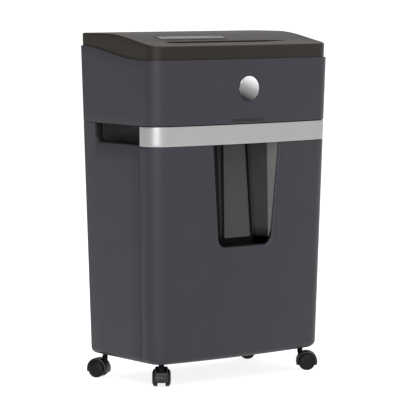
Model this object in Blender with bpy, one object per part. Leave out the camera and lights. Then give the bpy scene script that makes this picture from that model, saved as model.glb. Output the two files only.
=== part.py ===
"""A paper shredder on castors: a pull-out bin in a tapered cabinet under a cutting head.

Metres, +Z up, the front faces -Y, and the origin is on the floor under the middle.
Each function builds one sub-part or one group of identical pieces.
"""

import math

import bmesh
import bpy
from mathutils import Matrix, Vector

# Overall shape
HEAD_WIDTH = 0.390
HEAD_DEPTH = 0.224
HEAD_FRONT_TOP = 0.555
SIDE_TAPER = 0.0226
FRONT_TAPER = 0.0243
REAR_TAPER = 0.0209
FRONT_BOW = 0.0087
FRONT_CORNER = 0.031
REAR_CORNER = 0.005
GAP = 0.0003

# Heights
CABINET_BOTTOM = 0.041
BOTTOM_FILLET = 0.012
FLOOR_THICK = 0.005
BAND_BOTTOM = 0.4107
BAND_TOP = 0.4442
CABINET_TOP = 0.4445
HEAD_BOTTOM = 0.4455
TRAY_TOP = 0.4485
SKIRT_BOTTOM = 0.549

# Walls
WALL = 0.003
HEAD_WALL = 0.0032
COVER_INSET = 0.0035
COVER_THICK = 0.0035
RIM_LEDGE = 0.012
BAND_DEPTH = 0.012
COVER_STATIONS = (-0.125, -0.106, -0.092, -0.080, -0.068, -0.050, -0.042, -0.009, 0.004, 0.018, 0.044, 0.125)

# Bin bay in the cabinet: (height, inset from the outside) up its walls, and the two rails on its floor
BAY_LEVELS = ((0.046, 0.010), (0.052, 0.0055), (0.060, WALL), (0.4365, WALL), (0.4395, RIM_LEDGE),
              (0.46, RIM_LEDGE))
BAY_FRONT_Y = -0.15
RAIL_X = 0.130
RAIL_HALF_WIDTH = 0.008
RAIL_Y = (-0.046, 0.094)
RAIL_Z = (0.0450, 0.0520)
TONGUE_LAP = 0.010

# Side seam between the bin front and the cabinet
SEAM_TOP_Y = -0.0550
SEAM_BOTTOM_Y = -0.0490
SEAM_HALF_GAP = 0.0004

# Hand grips in the cabinet sides
GRIP_BOTTOM = 0.4115
GRIP_REAR_Y = 0.072
GRIP_DEPTH = 0.028
GRIP_CORNER = 0.014
GRIP_WALL = 0.002

# Window in the bin front: half width of the opening at each height
WINDOW_BOTTOM = 0.234
WINDOW_CORNER = 0.020
WINDOW_HALF_LOW = 0.0616
WINDOW_HALF_TOP = 0.0745
WINDOW_ARC_TOP = WINDOW_BOTTOM + WINDOW_CORNER
SCOOP_BACK_HALF_LOW = 0.0340
SCOOP_BACK_HALF_TOP = 0.0270
SCOOP_DEPTH_LOW = 0.0245
SCOOP_DEPTH_TOP = 0.0420
SCOOP_WALL = 0.002
SCOOP_CLEAR = 0.0006
SCOOP_TOP = 0.4405

# Bin bucket behind the panel, the bosses that join them, and the notch that clears the scoop
BUCKET_Z = (0.0524, 0.405)
BUCKET_FOOT_TOP = 0.064
BUCKET_FOOT_INSET = 0.006
BUCKET_WALL = 0.0025
BUCKET_FLOOR_TOP = 0.0550
BUCKET_SIDE_GAP = 0.0065
BUCKET_FRONT_GAP = 0.0165
BUCKET_REAR_GAP = 0.0060
BUCKET_CORNER = 0.012
BOSS_X = (-0.115, 0.115)
BOSS_Z = (0.12, 0.37)
BOSS_RADIUS = 0.005
NOTCH_OUTLINE = ((-0.050, 0.228), (0.050, 0.228), (0.066, 0.245), (0.078, 0.43), (-0.078, 0.43),
                 (-0.066, 0.245))
NOTCH_Y = (-0.12, -0.075)

# Feed slot and throat
SLOT_Y = -0.059
SLOT_HALF_X = 0.1203
SLOT_HALF_Y = 0.0085
THROAT_TOP = 0.5825
THROAT_WAIST = 0.556
THROAT_BOTTOM = 0.514
THROAT_WALL = 0.002
PAPER_HALF_X = 0.1125
PAPER_HALF_Y = 0.0025

# Control panel on the sloping part of the cover
PANEL_X = (-0.132, 0.012)
PANEL_Y = (-0.040, -0.011)
PANEL_THICK = 0.0017
PANEL_POCKET = 0.002
BUTTON_X = (-0.112, -0.076, -0.040)
BUTTON_RADIUS = 0.0055
BUTTON_TRAVEL_ROOM = 0.004
LENS_X = (-0.022, 0.002)
LENS_HALF_Y = 0.0020

# Badge and status light on the head's front
BADGE_Z = 0.505
BADGE_RADIUS = 0.0215
BADGE_RECESS = 0.002
LIGHT_HALF_X = 0.034
LIGHT_Z = (0.4495, 0.4533)
LIGHT_DEPTH = (0.0003, 0.0045)

# Cuts in the head's rear, (x range, z range), and the outlet in the tray under the cutters
REAR_CUTS = {
    "power": ((-0.1440, -0.0990), (0.4685, 0.4915)),
    "vent": ((-0.030, 0.090), (0.490, 0.526)),
}
OUTLET_HALF_X = 0.1165
OUTLET_Y = (-0.086, -0.032)

# Paper sensor and interlock
SENSOR_PIVOT = (0.0, -0.0460, 0.546)
LEVER_PIN_RADIUS = 0.0012
INTERLOCK_PLACE = (-0.136, -0.0930)
INTERLOCK_TOP = 0.474
PLUNGER_BOTTOM = 0.4449
PLUNGER_LENGTH = 0.0140
PLUNGER_RADIUS = 0.0024

# Cutting mechanism
SHAFT_Z = 0.495
SHAFT_SPACING = 0.027
SHAFT_RADIUS = 0.00595
SPACER_RADIUS = 0.009
DISC_RADIUS = 0.017
DISC_THICK = 0.0084
DISC_PITCH = 0.018
FRONT_DISCS = 13
REAR_DISCS = 12
PLATE_INNER_X = 0.1205
PLATE_THICK = 0.003
PLATE_Y = (-0.092, 0.056)
PLATE_Z = (0.4488, 0.541)
BEARING_RADIUS = 0.0085
TIMING_TEETH = 15
TIMING_MODULE = 0.0018
DRIVE_TEETH = 24
IDLER_PINION_TEETH = 10
DRIVE_MODULE = 0.002
IDLER_WHEEL_TEETH = 44
MOTOR_TEETH = 12
MOTOR_MODULE = 0.00125
IDLER_ANGLE = math.radians(15)
STUD_RADIUS = 0.003
MOTOR_RADIUS = 0.028
MOTOR_LENGTH = 0.093
GEARBOX_Y = (-0.0835, 0.0365)
GEARBOX_Z = (0.4635, 0.5385)
GEARBOX_X = 0.1495
GEARBOX_WALL = 0.002
SHAFT_LEFT_END = -0.1400
FRONT_SHAFT_RIGHT_END = 0.1256
REAR_SHAFT_RIGHT_END = 0.1360
TIMING_GEAR_X = (-0.1380, -0.1290)
DRIVE_GEAR_X = (0.1265, 0.1355)
IDLER_WHEEL_X = (0.1370, 0.1440)
IDLER_PINION_X = (0.1262, 0.1380)
MOTOR_SHAFT_X = (0.1188, 0.1450)
MOTOR_SHAFT_RADIUS = 0.003
STUD_END = 0.1473
TIE_RODS = {"front_tie_rod": -0.086, "rear_tie_rod": 0.048}
TIE_ROD_Z = 0.456
TIE_ROD_RADIUS = 0.003
COMB_HALF_LENGTH = 0.1195
COMB_Z = (0.486, 0.504)
FINGER_HALF_WIDTH = 0.0034

# Positions that follow from the gear sizes
FRONT_SHAFT_Y = SLOT_Y - SHAFT_SPACING / 2
REAR_SHAFT_Y = SLOT_Y + SHAFT_SPACING / 2
IDLER_REACH = (DRIVE_TEETH + IDLER_PINION_TEETH) / 2 * DRIVE_MODULE
IDLER_Y = REAR_SHAFT_Y + IDLER_REACH * math.cos(IDLER_ANGLE)
IDLER_Z = SHAFT_Z + IDLER_REACH * math.sin(IDLER_ANGLE)
MOTOR_Y = IDLER_Y + (IDLER_WHEEL_TEETH + MOTOR_TEETH) / 2 * MOTOR_MODULE

# Circuit board: its outline, its boxes as (x, y, height), and its round parts as (x, y, radius, height)
BOARD_X = (-0.115, 0.070)
BOARD_Y = (0.060, 0.1015)
BOARD_THICK = 0.0016
BOARD_BOXES = (
    ((-0.0955, -0.0650), (0.066, 0.096), 0.026),
    ((-0.060, -0.040), (0.068, 0.084), 0.016),
    ((0.024, 0.030), (0.070, 0.094), 0.020),
)
BOARD_CANS = ((-0.020, 0.078, 0.008, 0.024), (0.004, 0.084, 0.006, 0.018))

# Inlet, rocker and grille on the rear
INLET_FRONT_Y = 0.086
ROCKER_PIVOT = (-0.1080, 0.1054, 0.4800)
ROCKER_HALF_X = 0.0062
ROCKER_CLEAR = 0.0004
ROCKER_TILT = math.radians(10)
ROCKER_OUTLINE = ((0.0036, 0.0080), (0.0026, 0.0), (0.0036, -0.0080), (-0.0020, -0.0070), (-0.0050, 0.0),
                  (-0.0020, 0.0070))
PIN_PLACES = ((-0.007, -0.003), (0.0, 0.002), (0.007, -0.003))
GRILLE_THICK = 0.0022
GRILLE_SLOTS = 5
GRILLE_PITCH = 0.006

# Castors
FRONT_STEM = (0.154, -0.065)
REAR_STEM = (0.168, 0.0795)
TRAIL = 0.012
WHEEL_RADIUS = 0.015
WHEEL_SEGMENTS = 20
WHEEL_INNER_Y = 0.0066
WHEEL_OUTER_Y = 0.0160
HOOD_OUTER = 0.019
HOOD_INNER = 0.0159
HOOD_HALF_WIDTH = 0.011
STEM_RADIUS = 0.004
STEM_Z = (0.0285, 0.0480)
SOCKET_Z = (0.030, 0.0485)
STEM_BLOCK_Z = (0.0240, 0.0385)
STEM_BLOCK_RADIUS = 0.0058
STUB_RADIUS = 0.0025
STUB_END = 0.0137

# Colours (linear RGB), roughness, metallic
FINISHES = {
    "body_plastic": ((0.062, 0.061, 0.068), 0.45, 0.0),
    "cover_plastic": ((0.041, 0.036, 0.033), 0.4, 0.0),
    "black_plastic": ((0.012, 0.012, 0.013), 0.5, 0.0),
    "silver": ((0.42, 0.43, 0.45), 0.35, 0.3),
    "smoke": ((0.03, 0.03, 0.033), 0.15, 0.0),
    "gloss_panel": ((0.10, 0.097, 0.093), 0.2, 0.2),
    "steel": ((0.5, 0.5, 0.52), 0.35, 1.0),
    "bronze": ((0.45, 0.30, 0.16), 0.4, 1.0),
    "zinc": ((0.55, 0.56, 0.57), 0.4, 1.0),
    "nylon": ((0.65, 0.63, 0.58), 0.5, 0.0),
    "lens": ((0.05, 0.25, 0.35), 0.2, 0.0),
    "board": ((0.02, 0.12, 0.05), 0.5, 0.0),
    "rubber": ((0.015, 0.015, 0.016), 0.7, 0.0),
}


def clear_scene():
    for obj in list(bpy.data.objects):
        bpy.data.objects.remove(obj, do_unlink=True)


def finish(name):
    material = bpy.data.materials.get(name)
    if material is None:
        colour, roughness, metallic = FINISHES[name]
        material = bpy.data.materials.new(name)
        material.use_nodes = True
        shader = material.node_tree.nodes["Principled BSDF"]
        shader.inputs["Base Color"].default_value = (*colour, 1.0)
        shader.inputs["Roughness"].default_value = roughness
        shader.inputs["Metallic"].default_value = metallic
    return material


def add_object(name, bm, material, origin=(0, 0, 0), rotation=(0, 0, 0), parent=None):
    """Turns a bmesh drawn about the object's origin into an object placed at that origin."""
    bmesh.ops.remove_doubles(bm, verts=bm.verts, dist=1e-7)
    bmesh.ops.recalc_face_normals(bm, faces=bm.faces)
    mesh = bpy.data.meshes.new(name)
    bm.to_mesh(mesh)
    bm.free()
    mesh.shade_smooth()
    mesh.set_sharp_from_angle(angle=math.radians(32))
    mesh.materials.append(finish(material))
    return place_mesh(name, mesh, origin, rotation, parent)


def place_mesh(name, mesh, origin, rotation=(0, 0, 0), parent=None):
    obj = bpy.data.objects.new(name, mesh)
    obj.location = origin
    obj.rotation_euler = rotation
    obj.parent = parent
    bpy.context.scene.collection.objects.link(obj)
    return obj


def cutter(bm, origin=(0, 0, 0), rotation=(0, 0, 0)):
    obj = add_object("cutter", bm, "steel", origin, rotation)
    obj.hide_render = True
    obj.display_type = "WIRE"
    return obj


def boolean(obj, operation, other):
    modifier = obj.modifiers.new(operation.lower(), "BOOLEAN")
    modifier.operation = operation
    modifier.solver = "EXACT"
    modifier.object = other


def loft(bm, rings, closed=False):
    """Skins a list of equal rings of points; the ends get caps unless the path is closed."""
    loops = [[bm.verts.new(point) for point in ring] for ring in rings]
    pairs = list(zip(loops, loops[1:]))
    if closed:
        pairs.append((loops[-1], loops[0]))
    count = len(loops[0])
    for low, high in pairs:
        for k in range(count):
            bm.faces.new((low[k], low[(k + 1) % count], high[(k + 1) % count], high[k]))
    if not closed:
        bm.faces.new(loops[0][::-1])
        bm.faces.new(loops[-1])
    return bm


def box(bm, low, high):
    x0, y0, z0 = low
    x1, y1, z1 = high
    rings = [[(x0, y0, z), (x1, y0, z), (x1, y1, z), (x0, y1, z)] for z in (z0, z1)]
    return loft(bm, rings)


def turned(bm, profile, segments, axis="X", centre=(0, 0, 0)):
    """Turns (along, radius) points about an axis; a radius of zero is a pole."""
    rows = []
    for along, radius in profile:
        count = segments if radius > 0 else 1
        row = []
        for k in range(count):
            angle = 2 * math.pi * k / segments
            across = (radius * math.cos(angle), radius * math.sin(angle))
            local = {
                "X": (along, across[0], across[1]),
                "Y": (across[0], along, across[1]),
                "Z": (across[0], across[1], along),
            }[axis]
            row.append(bm.verts.new(Vector(local) + Vector(centre)))
        rows.append(row)
    ends_on_axis = profile[0][1] == 0 and profile[-1][1] == 0
    pairs = list(zip(rows, rows[1:]))
    if not ends_on_axis:
        pairs.append((rows[-1], rows[0]))
    for low, high in pairs:
        for k in range(segments):
            n = (k + 1) % segments
            corners = [low[k % len(low)], low[n % len(low)], high[n % len(high)], high[k % len(high)]]
            unique = list(dict.fromkeys(corners))
            if len(unique) > 2:
                bm.faces.new(unique)
    return bm


def rod(bm, start, end, radius, segments=16, axis="X", centre=(0, 0, 0)):
    return turned(bm, [(start, 0), (start, radius), (end, radius), (end, 0)], segments, axis, centre)


def clear_bore(radius, segments, clearance=GAP):
    """Corner radius of a faceted bore whose flats clear a round of this radius."""
    return (radius + clearance) / math.cos(math.pi / segments)


# The tapered, bow-fronted plan that the cabinet, the bin front, the head and the cover share

def half_width(z):
    return HEAD_WIDTH / 2 - SIDE_TAPER * (HEAD_FRONT_TOP - z)


def rear_y(z):
    return HEAD_DEPTH / 2 - REAR_TAPER * (HEAD_FRONT_TOP - z)


def front_centre_y(z):
    return -HEAD_DEPTH / 2 + FRONT_TAPER * (HEAD_FRONT_TOP - z)


def seam_y(z):
    share = (z - CABINET_BOTTOM) / (BAND_BOTTOM - CABINET_BOTTOM)
    return SEAM_BOTTOM_Y + share * (SEAM_TOP_Y - SEAM_BOTTOM_Y)


def right_front(z, inset, front_steps, corner_steps):
    """The front's right half, from the middle to the end of the corner's round."""
    corner = FRONT_CORNER - inset
    edge = half_width(z) - FRONT_CORNER
    slope = math.atan(2 * FRONT_BOW / edge)
    centre_y = front_centre_y(z) + FRONT_BOW + FRONT_CORNER * math.cos(slope)
    reach = edge + FRONT_CORNER * math.sin(slope)
    points = []
    for k in range(front_steps):
        x = reach * k / front_steps
        points.append((x * (1 - inset / FRONT_CORNER * math.sin(slope) * 0.2),
                       front_centre_y(z) + inset + FRONT_BOW * (x / reach) ** 2))
    for k in range(corner_steps + 1):
        angle = slope + (math.pi / 2 - slope) * k / corner_steps
        points.append((edge + corner * math.sin(angle), centre_y - corner * math.cos(angle)))
    return points


def mirrored(points):
    """A right half that starts on the middle line, with its left half put before it."""
    return [(-x, y) for x, y in points[:0:-1]] + points


def front_path(z, inset, front_steps=5, corner_steps=5):
    """From the left side seam round the front to the right side seam."""
    side = half_width(z) - inset
    right = right_front(z, inset, front_steps, corner_steps)
    right.append((side, seam_y(z) - SEAM_HALF_GAP))
    return mirrored(right)


def full_path(z, inset, side_steps=7, front_steps=5, corner_steps=5):
    """The whole plan as one closed ring, anticlockwise from the left rear."""
    side = half_width(z) - inset
    right = right_front(z, inset, front_steps, corner_steps)
    radius = max(REAR_CORNER - inset, 0.0012)
    rear = rear_y(z) - inset
    start = right[-1][1]
    for k in range(1, side_steps + 1):
        right.append((side, start + (rear - radius - start) * k / side_steps))
    for angle in (math.radians(45), math.radians(90)):
        right.append((side - radius + radius * math.cos(angle), rear - radius + radius * math.sin(angle)))
    return mirrored(right)


def rear_path(z, inset):
    """The plan behind the side seam, closed straight across the seam."""
    side = half_width(z) - inset
    radius = max(REAR_CORNER - inset, 0.0012)
    rear = rear_y(z) - inset
    right = [(side, seam_y(z) + SEAM_HALF_GAP)]
    for angle in (0, math.radians(45), math.radians(90)):
        right.append((side - radius + radius * math.cos(angle), rear - radius + radius * math.sin(angle)))
    return [(-x, y) for x, y in right[::-1]] + right


def at(path, z):
    return [(x, y, z) for x, y in path]


def fillet_levels():
    """(inset, height) pairs up the rounded bottom edge."""
    levels = []
    for degrees in (0, 30, 60, 90):
        turn = math.radians(degrees)
        inset = BOTTOM_FILLET * (1 - math.sin(turn))
        levels.append((inset, CABINET_BOTTOM + BOTTOM_FILLET * (1 - math.cos(turn))))
    return levels


def head_top(y):
    """Height of the line where the head meets the cover."""
    share = min(max((y + 0.087) / 0.1985, 0.0), 1.0)
    return 0.5548 + 0.0222 * (1 - math.cos(math.pi * share ** 1.25)) / 2


def cover_top(y):
    """Height of the cover: low at the front, an S-shaped rise, and a flat rear."""
    share = min(max((y + 0.106) / 0.150, 0.0), 1.0)
    return 0.5793 + 0.0194 * (1 - math.cos(math.pi * share ** 0.9)) / 2


def cover_slab(drop, floor=SKIRT_BOTTOM - 0.01):
    """A solid under the cover's S-shaped surface, wide enough to trim with."""
    bm = bmesh.new()
    rings = []
    for x in (-0.3, 0.3):
        surface = [(x, y, cover_top(y) - drop) for y in COVER_STATIONS]
        rings.append(surface + [(x, COVER_STATIONS[-1], floor), (x, COVER_STATIONS[0], floor)])
    return loft(bm, rings)


# Cabinet

def grip_profile(low, rear, corner, top):
    """Side view of a hand grip, (y, z): rounded at its lower rear."""
    front = SEAM_TOP_Y + 0.0008
    points = [(front, low)]
    for k in range(5):
        angle = -math.pi / 2 + math.pi / 2 * k / 4
        points.append((rear - corner + corner * math.cos(angle), low + corner + corner * math.sin(angle)))
    points.append((rear, top))
    points.append((front, top))
    return points


def side_prism(profile, x0, x1):
    return loft(bmesh.new(), [[(x, y, z) for y, z in profile] for x in (x0, x1)])


def build_cabinet():
    bm = bmesh.new()
    rings = [at(rear_path(z, inset), z) for inset, z in fillet_levels()]
    rings.append(at(rear_path(CABINET_TOP, 0), CABINET_TOP))
    cabinet = add_object("cabinet", loft(bm, rings), "body_plastic")

    bay = bmesh.new()
    rings = []
    for z, inset in BAY_LEVELS:
        side = half_width(z) - inset
        rear = rear_y(z) - inset
        rings.append([(-side, BAY_FRONT_Y, z), (side, BAY_FRONT_Y, z), (side, rear, z), (-side, rear, z)])
    boolean(cabinet, "DIFFERENCE", cutter(loft(bay, rings)))

    rails = bmesh.new()
    for side in (-1, 1):
        x = side * RAIL_X
        box(rails, (x - RAIL_HALF_WIDTH, RAIL_Y[0], RAIL_Z[0]), (x + RAIL_HALF_WIDTH, RAIL_Y[1], RAIL_Z[1]))
    boolean(cabinet, "UNION", cutter(rails))

    tongue = bmesh.new()
    rings = []
    for z in (CABINET_BOTTOM, CABINET_BOTTOM + FLOOR_THICK):
        path = right_front(CABINET_BOTTOM, BOTTOM_FILLET + 0.0006, 4, 4)
        path.append((path[-1][0], SEAM_BOTTOM_Y + TONGUE_LAP))
        rings.append(at(mirrored(path), z))
    boolean(cabinet, "UNION", cutter(loft(tongue, rings)))

    for side in (-1, 1):
        profile = grip_profile(GRIP_BOTTOM, GRIP_REAR_Y, GRIP_CORNER, 0.46)
        profile[0] = (-0.06, GRIP_BOTTOM)
        profile[-1] = (-0.06, 0.46)
        outer = side * 0.25
        inner = side * (half_width(CABINET_TOP) - GRIP_DEPTH)
        boolean(cabinet, "DIFFERENCE", cutter(side_prism(profile, inner, outer)))

    holes = bmesh.new()
    for x, y, _angle in castor_places():
        rod(holes, *SOCKET_Z, clear_bore(STEM_RADIUS, 16), 16, "Z", (x, y, 0))
    boolean(cabinet, "DIFFERENCE", cutter(holes))


def build_grip_inserts():
    for side, name in ((-1, "left_grip_insert"), (1, "right_grip_insert")):
        top = CABINET_TOP - GAP
        low = GRIP_BOTTOM + GAP
        rear = GRIP_REAR_Y - GAP
        outer = side * (half_width(GRIP_BOTTOM) - 0.0006)
        inner = side * (half_width(CABINET_TOP) - GRIP_DEPTH + GAP)
        solid = side_prism(grip_profile(low, rear, GRIP_CORNER, top), inner, outer)
        insert = add_object(name, solid, "black_plastic")
        hollow = grip_profile(low + GRIP_WALL, rear - GRIP_WALL, GRIP_CORNER - GRIP_WALL, 0.46)
        hollow[0] = (hollow[0][0] + GRIP_WALL, hollow[0][1])
        hollow[-1] = (hollow[-1][0] + GRIP_WALL, hollow[-1][1])
        boolean(insert, "DIFFERENCE", cutter(side_prism(hollow, inner + side * GRIP_WALL, side * 0.25)))


# Bin

def window_half(z):
    """Half width of the window opening at a height, with round bottom corners."""
    if z < WINDOW_ARC_TOP:
        rise = math.sqrt(max(WINDOW_CORNER ** 2 - (WINDOW_ARC_TOP - z) ** 2, 0.0))
        return WINDOW_HALF_LOW - WINDOW_CORNER + rise
    share = (z - WINDOW_ARC_TOP) / (BAND_BOTTOM - WINDOW_ARC_TOP)
    return WINDOW_HALF_LOW + (WINDOW_HALF_TOP - WINDOW_HALF_LOW) * share


def window_levels():
    """Heights of the window's outline points, up both sides alike."""
    corner = [WINDOW_BOTTOM + WINDOW_CORNER * (1 - math.cos(math.radians(a))) for a in (0, 30, 60, 90)]
    return corner + [0.33, BAND_BOTTOM]


def swept_shell(section, path):
    """A wall whose (inset, z) section follows a plan path."""
    columns = [at(path(z, inset), z) for inset, z in section]
    return loft(bmesh.new(), [list(ring) for ring in zip(*columns)])


def build_bin_front():
    outer = fillet_levels() + [(0, BAND_BOTTOM - GAP)]
    inner = [(WALL, BAND_BOTTOM - GAP), (WALL, 0.053), (0.0045, 0.0487), (0.0075, 0.0453)]
    inner.append((BOTTOM_FILLET, 0.0436))
    panel = add_object("bin_front_panel", swept_shell(outer + inner, front_path), "body_plastic")
    levels = [(window_half(z), z) for z in window_levels()] + [(WINDOW_HALF_TOP, BAND_BOTTOM + 0.01)]
    outline = [(x, z) for x, z in levels] + [(-x, z) for x, z in reversed(levels)]
    bm = loft(bmesh.new(), [[(x, y, z) for x, z in outline] for y in (-0.15, -0.085)])
    boolean(panel, "DIFFERENCE", cutter(bm))


def build_handle_band():
    section = [(0, BAND_BOTTOM), (0, BAND_TOP), (BAND_DEPTH, BAND_TOP), (BAND_DEPTH, BAND_BOTTOM)]
    add_object("handle_band", swept_shell(section, front_path), "silver")


def scoop_share(z):
    return (z - WINDOW_BOTTOM) / (SCOOP_TOP - WINDOW_BOTTOM)


def scoop_back_half(z):
    return SCOOP_BACK_HALF_LOW + (SCOOP_BACK_HALF_TOP - SCOOP_BACK_HALF_LOW) * scoop_share(z)


def scoop_back_y(z):
    depth = SCOOP_DEPTH_LOW + (SCOOP_DEPTH_TOP - SCOOP_DEPTH_LOW) * scoop_share(z)
    return front_centre_y(z) + depth


def scoop_ring(z, half, front):
    """Plan of the scoop: slanting left wall, back pane and slanting right wall."""
    back = min(scoop_back_half(z), half - 0.004)
    corner = SCOOP_WALL * 0.42
    slant = SCOOP_WALL * 1.4
    inside = [(half - slant, front), (back, scoop_back_y(z))]
    outside = [(half, front), (back + corner, scoop_back_y(z) + SCOOP_WALL)]
    outer = [(-x, y) for x, y in outside] + outside[::-1]
    inner = [(-x, y) for x, y in inside] + inside[::-1]
    return at(outer + inner[::-1], z)


def window_front_y(z, half):
    """Where the window's side edge meets the panel's front surface."""
    reach = half_width(z) - FRONT_CORNER
    return front_centre_y(z) + FRONT_BOW * (half / reach) ** 2 + 0.0002


def build_window_scoop():
    rings = []
    for z in window_levels()[:-1]:
        half = window_half(z) - SCOOP_CLEAR
        rings.append(scoop_ring(z + SCOOP_CLEAR, half, window_front_y(z, half)))
    half = WINDOW_HALF_TOP - SCOOP_CLEAR
    top = BAND_BOTTOM - SCOOP_CLEAR
    rings.append(scoop_ring(top, half, window_front_y(top, half)))
    behind_band = front_centre_y(BAND_TOP) + BAND_DEPTH + FRONT_BOW * 0.25 + SCOOP_CLEAR
    share = BAND_DEPTH / (scoop_back_y(SCOOP_TOP) - front_centre_y(SCOOP_TOP))
    half -= (half - SCOOP_BACK_HALF_TOP) * share
    rings += [scoop_ring(z, half, behind_band) for z in (BAND_BOTTOM - GAP, SCOOP_TOP)]
    scoop = add_object("window_scoop", loft(bmesh.new(), rings), "smoke")

    floor_rings = []
    for z in (WINDOW_BOTTOM + SCOOP_CLEAR, WINDOW_BOTTOM + SCOOP_CLEAR + SCOOP_WALL):
        half = window_half(z) - 0.005
        back = min(scoop_back_half(z), half - 0.004)
        y_front = window_front_y(z, half) + 0.0001
        y_back = scoop_back_y(z) + SCOOP_WALL / 2
        floor_rings.append(at([(-half, y_front), (half, y_front), (back, y_back), (-back, y_back)], z))
    boolean(scoop, "UNION", cutter(loft(bmesh.new(), floor_rings)))


def bucket_ring(z, inset):
    side = half_width(z) - BUCKET_SIDE_GAP - inset
    front = front_centre_y(z) + BUCKET_FRONT_GAP + inset
    rear = rear_y(z) - BUCKET_REAR_GAP - inset
    corner_x = side - BUCKET_CORNER
    corner_y = front + BUCKET_CORNER
    return at([(-corner_x, front), (corner_x, front), (side, corner_y), (side, rear), (-side, rear),
               (-side, corner_y)], z)


def build_bin_bucket():
    low, high = BUCKET_Z
    rings = [bucket_ring(low, BUCKET_FOOT_INSET), bucket_ring(BUCKET_FOOT_TOP, 0.0), bucket_ring(high, 0.0)]
    bucket = add_object("bin_bucket", loft(bmesh.new(), rings), "black_plastic")
    rings = [bucket_ring(BUCKET_FLOOR_TOP, BUCKET_FOOT_INSET + BUCKET_WALL),
             bucket_ring(BUCKET_FOOT_TOP + 0.002, BUCKET_WALL), bucket_ring(high + 0.025, BUCKET_WALL)]
    boolean(bucket, "DIFFERENCE", cutter(loft(bmesh.new(), rings)))
    bosses = bmesh.new()
    for x in BOSS_X:
        for z in BOSS_Z:
            start = front_centre_y(z) + WALL + FRONT_BOW * (x / (half_width(z) - FRONT_CORNER)) ** 2 + 0.0008
            end = front_centre_y(z) + BUCKET_FRONT_GAP + BUCKET_WALL / 2 + 0.00005
            rod(bosses, start, end, BOSS_RADIUS, 12, "Y", (x, 0, z))
    boolean(bucket, "UNION", cutter(bosses))
    bm = loft(bmesh.new(), [[(x, y, z) for x, z in NOTCH_OUTLINE] for y in NOTCH_Y])
    boolean(bucket, "DIFFERENCE", cutter(bm))


# Head

def head_top_path(inset):
    """The head's upper edge, whose height follows the line where it meets the cover."""
    heights = [head_top(y) for _x, y in full_path(HEAD_FRONT_TOP, inset)]
    return [(*full_path(z, inset)[k], z) for k, z in enumerate(heights)]


def build_head_housing():
    outer_low = at(full_path(HEAD_BOTTOM, 0), HEAD_BOTTOM)
    inner_low = at(full_path(HEAD_BOTTOM, HEAD_WALL), HEAD_BOTTOM)
    outer_high = head_top_path(0)
    inner_high = [(x, y, z) for (x, y, _z), (_x, _y, z) in zip(head_top_path(HEAD_WALL), outer_high)]
    sections = [list(corners) for corners in zip(outer_low, outer_high, inner_high, inner_low)]
    head = add_object("head_housing", loft(bmesh.new(), sections, closed=True), "body_plastic")

    cuts = bmesh.new()
    for (x0, x1), (z0, z1) in REAR_CUTS.values():
        box(cuts, (x0, 0.10, z0), (x1, 0.125, z1))
    box(cuts, (-LIGHT_HALF_X, -0.125, LIGHT_Z[0]), (LIGHT_HALF_X, -0.10, LIGHT_Z[1]))
    boolean(head, "DIFFERENCE", cutter(cuts))
    recess_back = front_centre_y(BADGE_Z) + BADGE_RECESS
    bm = rod(bmesh.new(), recess_back - 0.02, recess_back, BADGE_RADIUS + GAP, 28, "Y", (0, 0, BADGE_Z))
    boolean(head, "DIFFERENCE", cutter(bm))


def build_badge():
    back = front_centre_y(BADGE_Z) + BADGE_RECESS - GAP
    profile = [(back, 0), (back, BADGE_RADIUS), (back - 0.0020, BADGE_RADIUS), (back - 0.0026, 0.018),
               (back - 0.0029, 0.009), (back - 0.0029, 0)]
    add_object("badge", turned(bmesh.new(), profile, 28, "Y", (0, 0, BADGE_Z)), "silver")


def build_light_bar():
    front = front_centre_y(sum(LIGHT_Z) / 2)
    bm = box(bmesh.new(), (-LIGHT_HALF_X + GAP, front + LIGHT_DEPTH[0], LIGHT_Z[0] + GAP),
             (LIGHT_HALF_X - GAP, front + LIGHT_DEPTH[1], LIGHT_Z[1] - GAP))
    add_object("light_bar", bm, "smoke")


def build_base_tray():
    bm = bmesh.new()
    z_low = CABINET_TOP + GAP
    rings = [at(full_path(HEAD_BOTTOM, HEAD_WALL + GAP, 2, 3, 3), z) for z in (z_low, TRAY_TOP)]
    tray = add_object("head_base_tray", loft(bm, rings), "black_plastic")
    cuts = box(bmesh.new(), (-OUTLET_HALF_X, OUTLET_Y[0], 0.43), (OUTLET_HALF_X, OUTLET_Y[1], 0.46))
    x, y = INTERLOCK_PLACE
    rod(cuts, 0.43, 0.46, 0.0035, 12, "Z", (x, y, 0))
    boolean(tray, "DIFFERENCE", cutter(cuts))


def build_top_cover():
    def block(inset, low, high):
        return loft(bmesh.new(), [at(full_path(z, inset), z) for z in (low, high)])

    cover = add_object("top_cover", block(COVER_INSET, SKIRT_BOTTOM, 0.62), "cover_plastic")
    boolean(cover, "INTERSECT", cutter(cover_slab(0)))
    hollow = cutter(block(COVER_INSET + COVER_THICK, SKIRT_BOTTOM - 0.005, 0.62))
    boolean(hollow, "INTERSECT", cutter(cover_slab(COVER_THICK)))
    boolean(cover, "DIFFERENCE", hollow)
    slot = box(bmesh.new(), (-SLOT_HALF_X, SLOT_Y - SLOT_HALF_Y, 0.56),
               (SLOT_HALF_X, SLOT_Y + SLOT_HALF_Y, 0.62))
    boolean(cover, "DIFFERENCE", cutter(slot))

    origin, tilt = panel_frame()
    half_x, half_y = panel_half_sizes()
    pocket = box(bmesh.new(), (-half_x - GAP, -half_y - GAP, -PANEL_POCKET),
                 (half_x + GAP, half_y + GAP, 0.02))
    boolean(cover, "DIFFERENCE", cutter(pocket, origin, (tilt, 0, 0)))
    holes = bmesh.new()
    for x in BUTTON_X:
        rod(holes, -0.02, 0.02, BUTTON_RADIUS + 0.0005, 16, "Z", (x - origin[0], 0, 0))
    boolean(cover, "DIFFERENCE", cutter(holes, origin, (tilt, 0, 0)))


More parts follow.
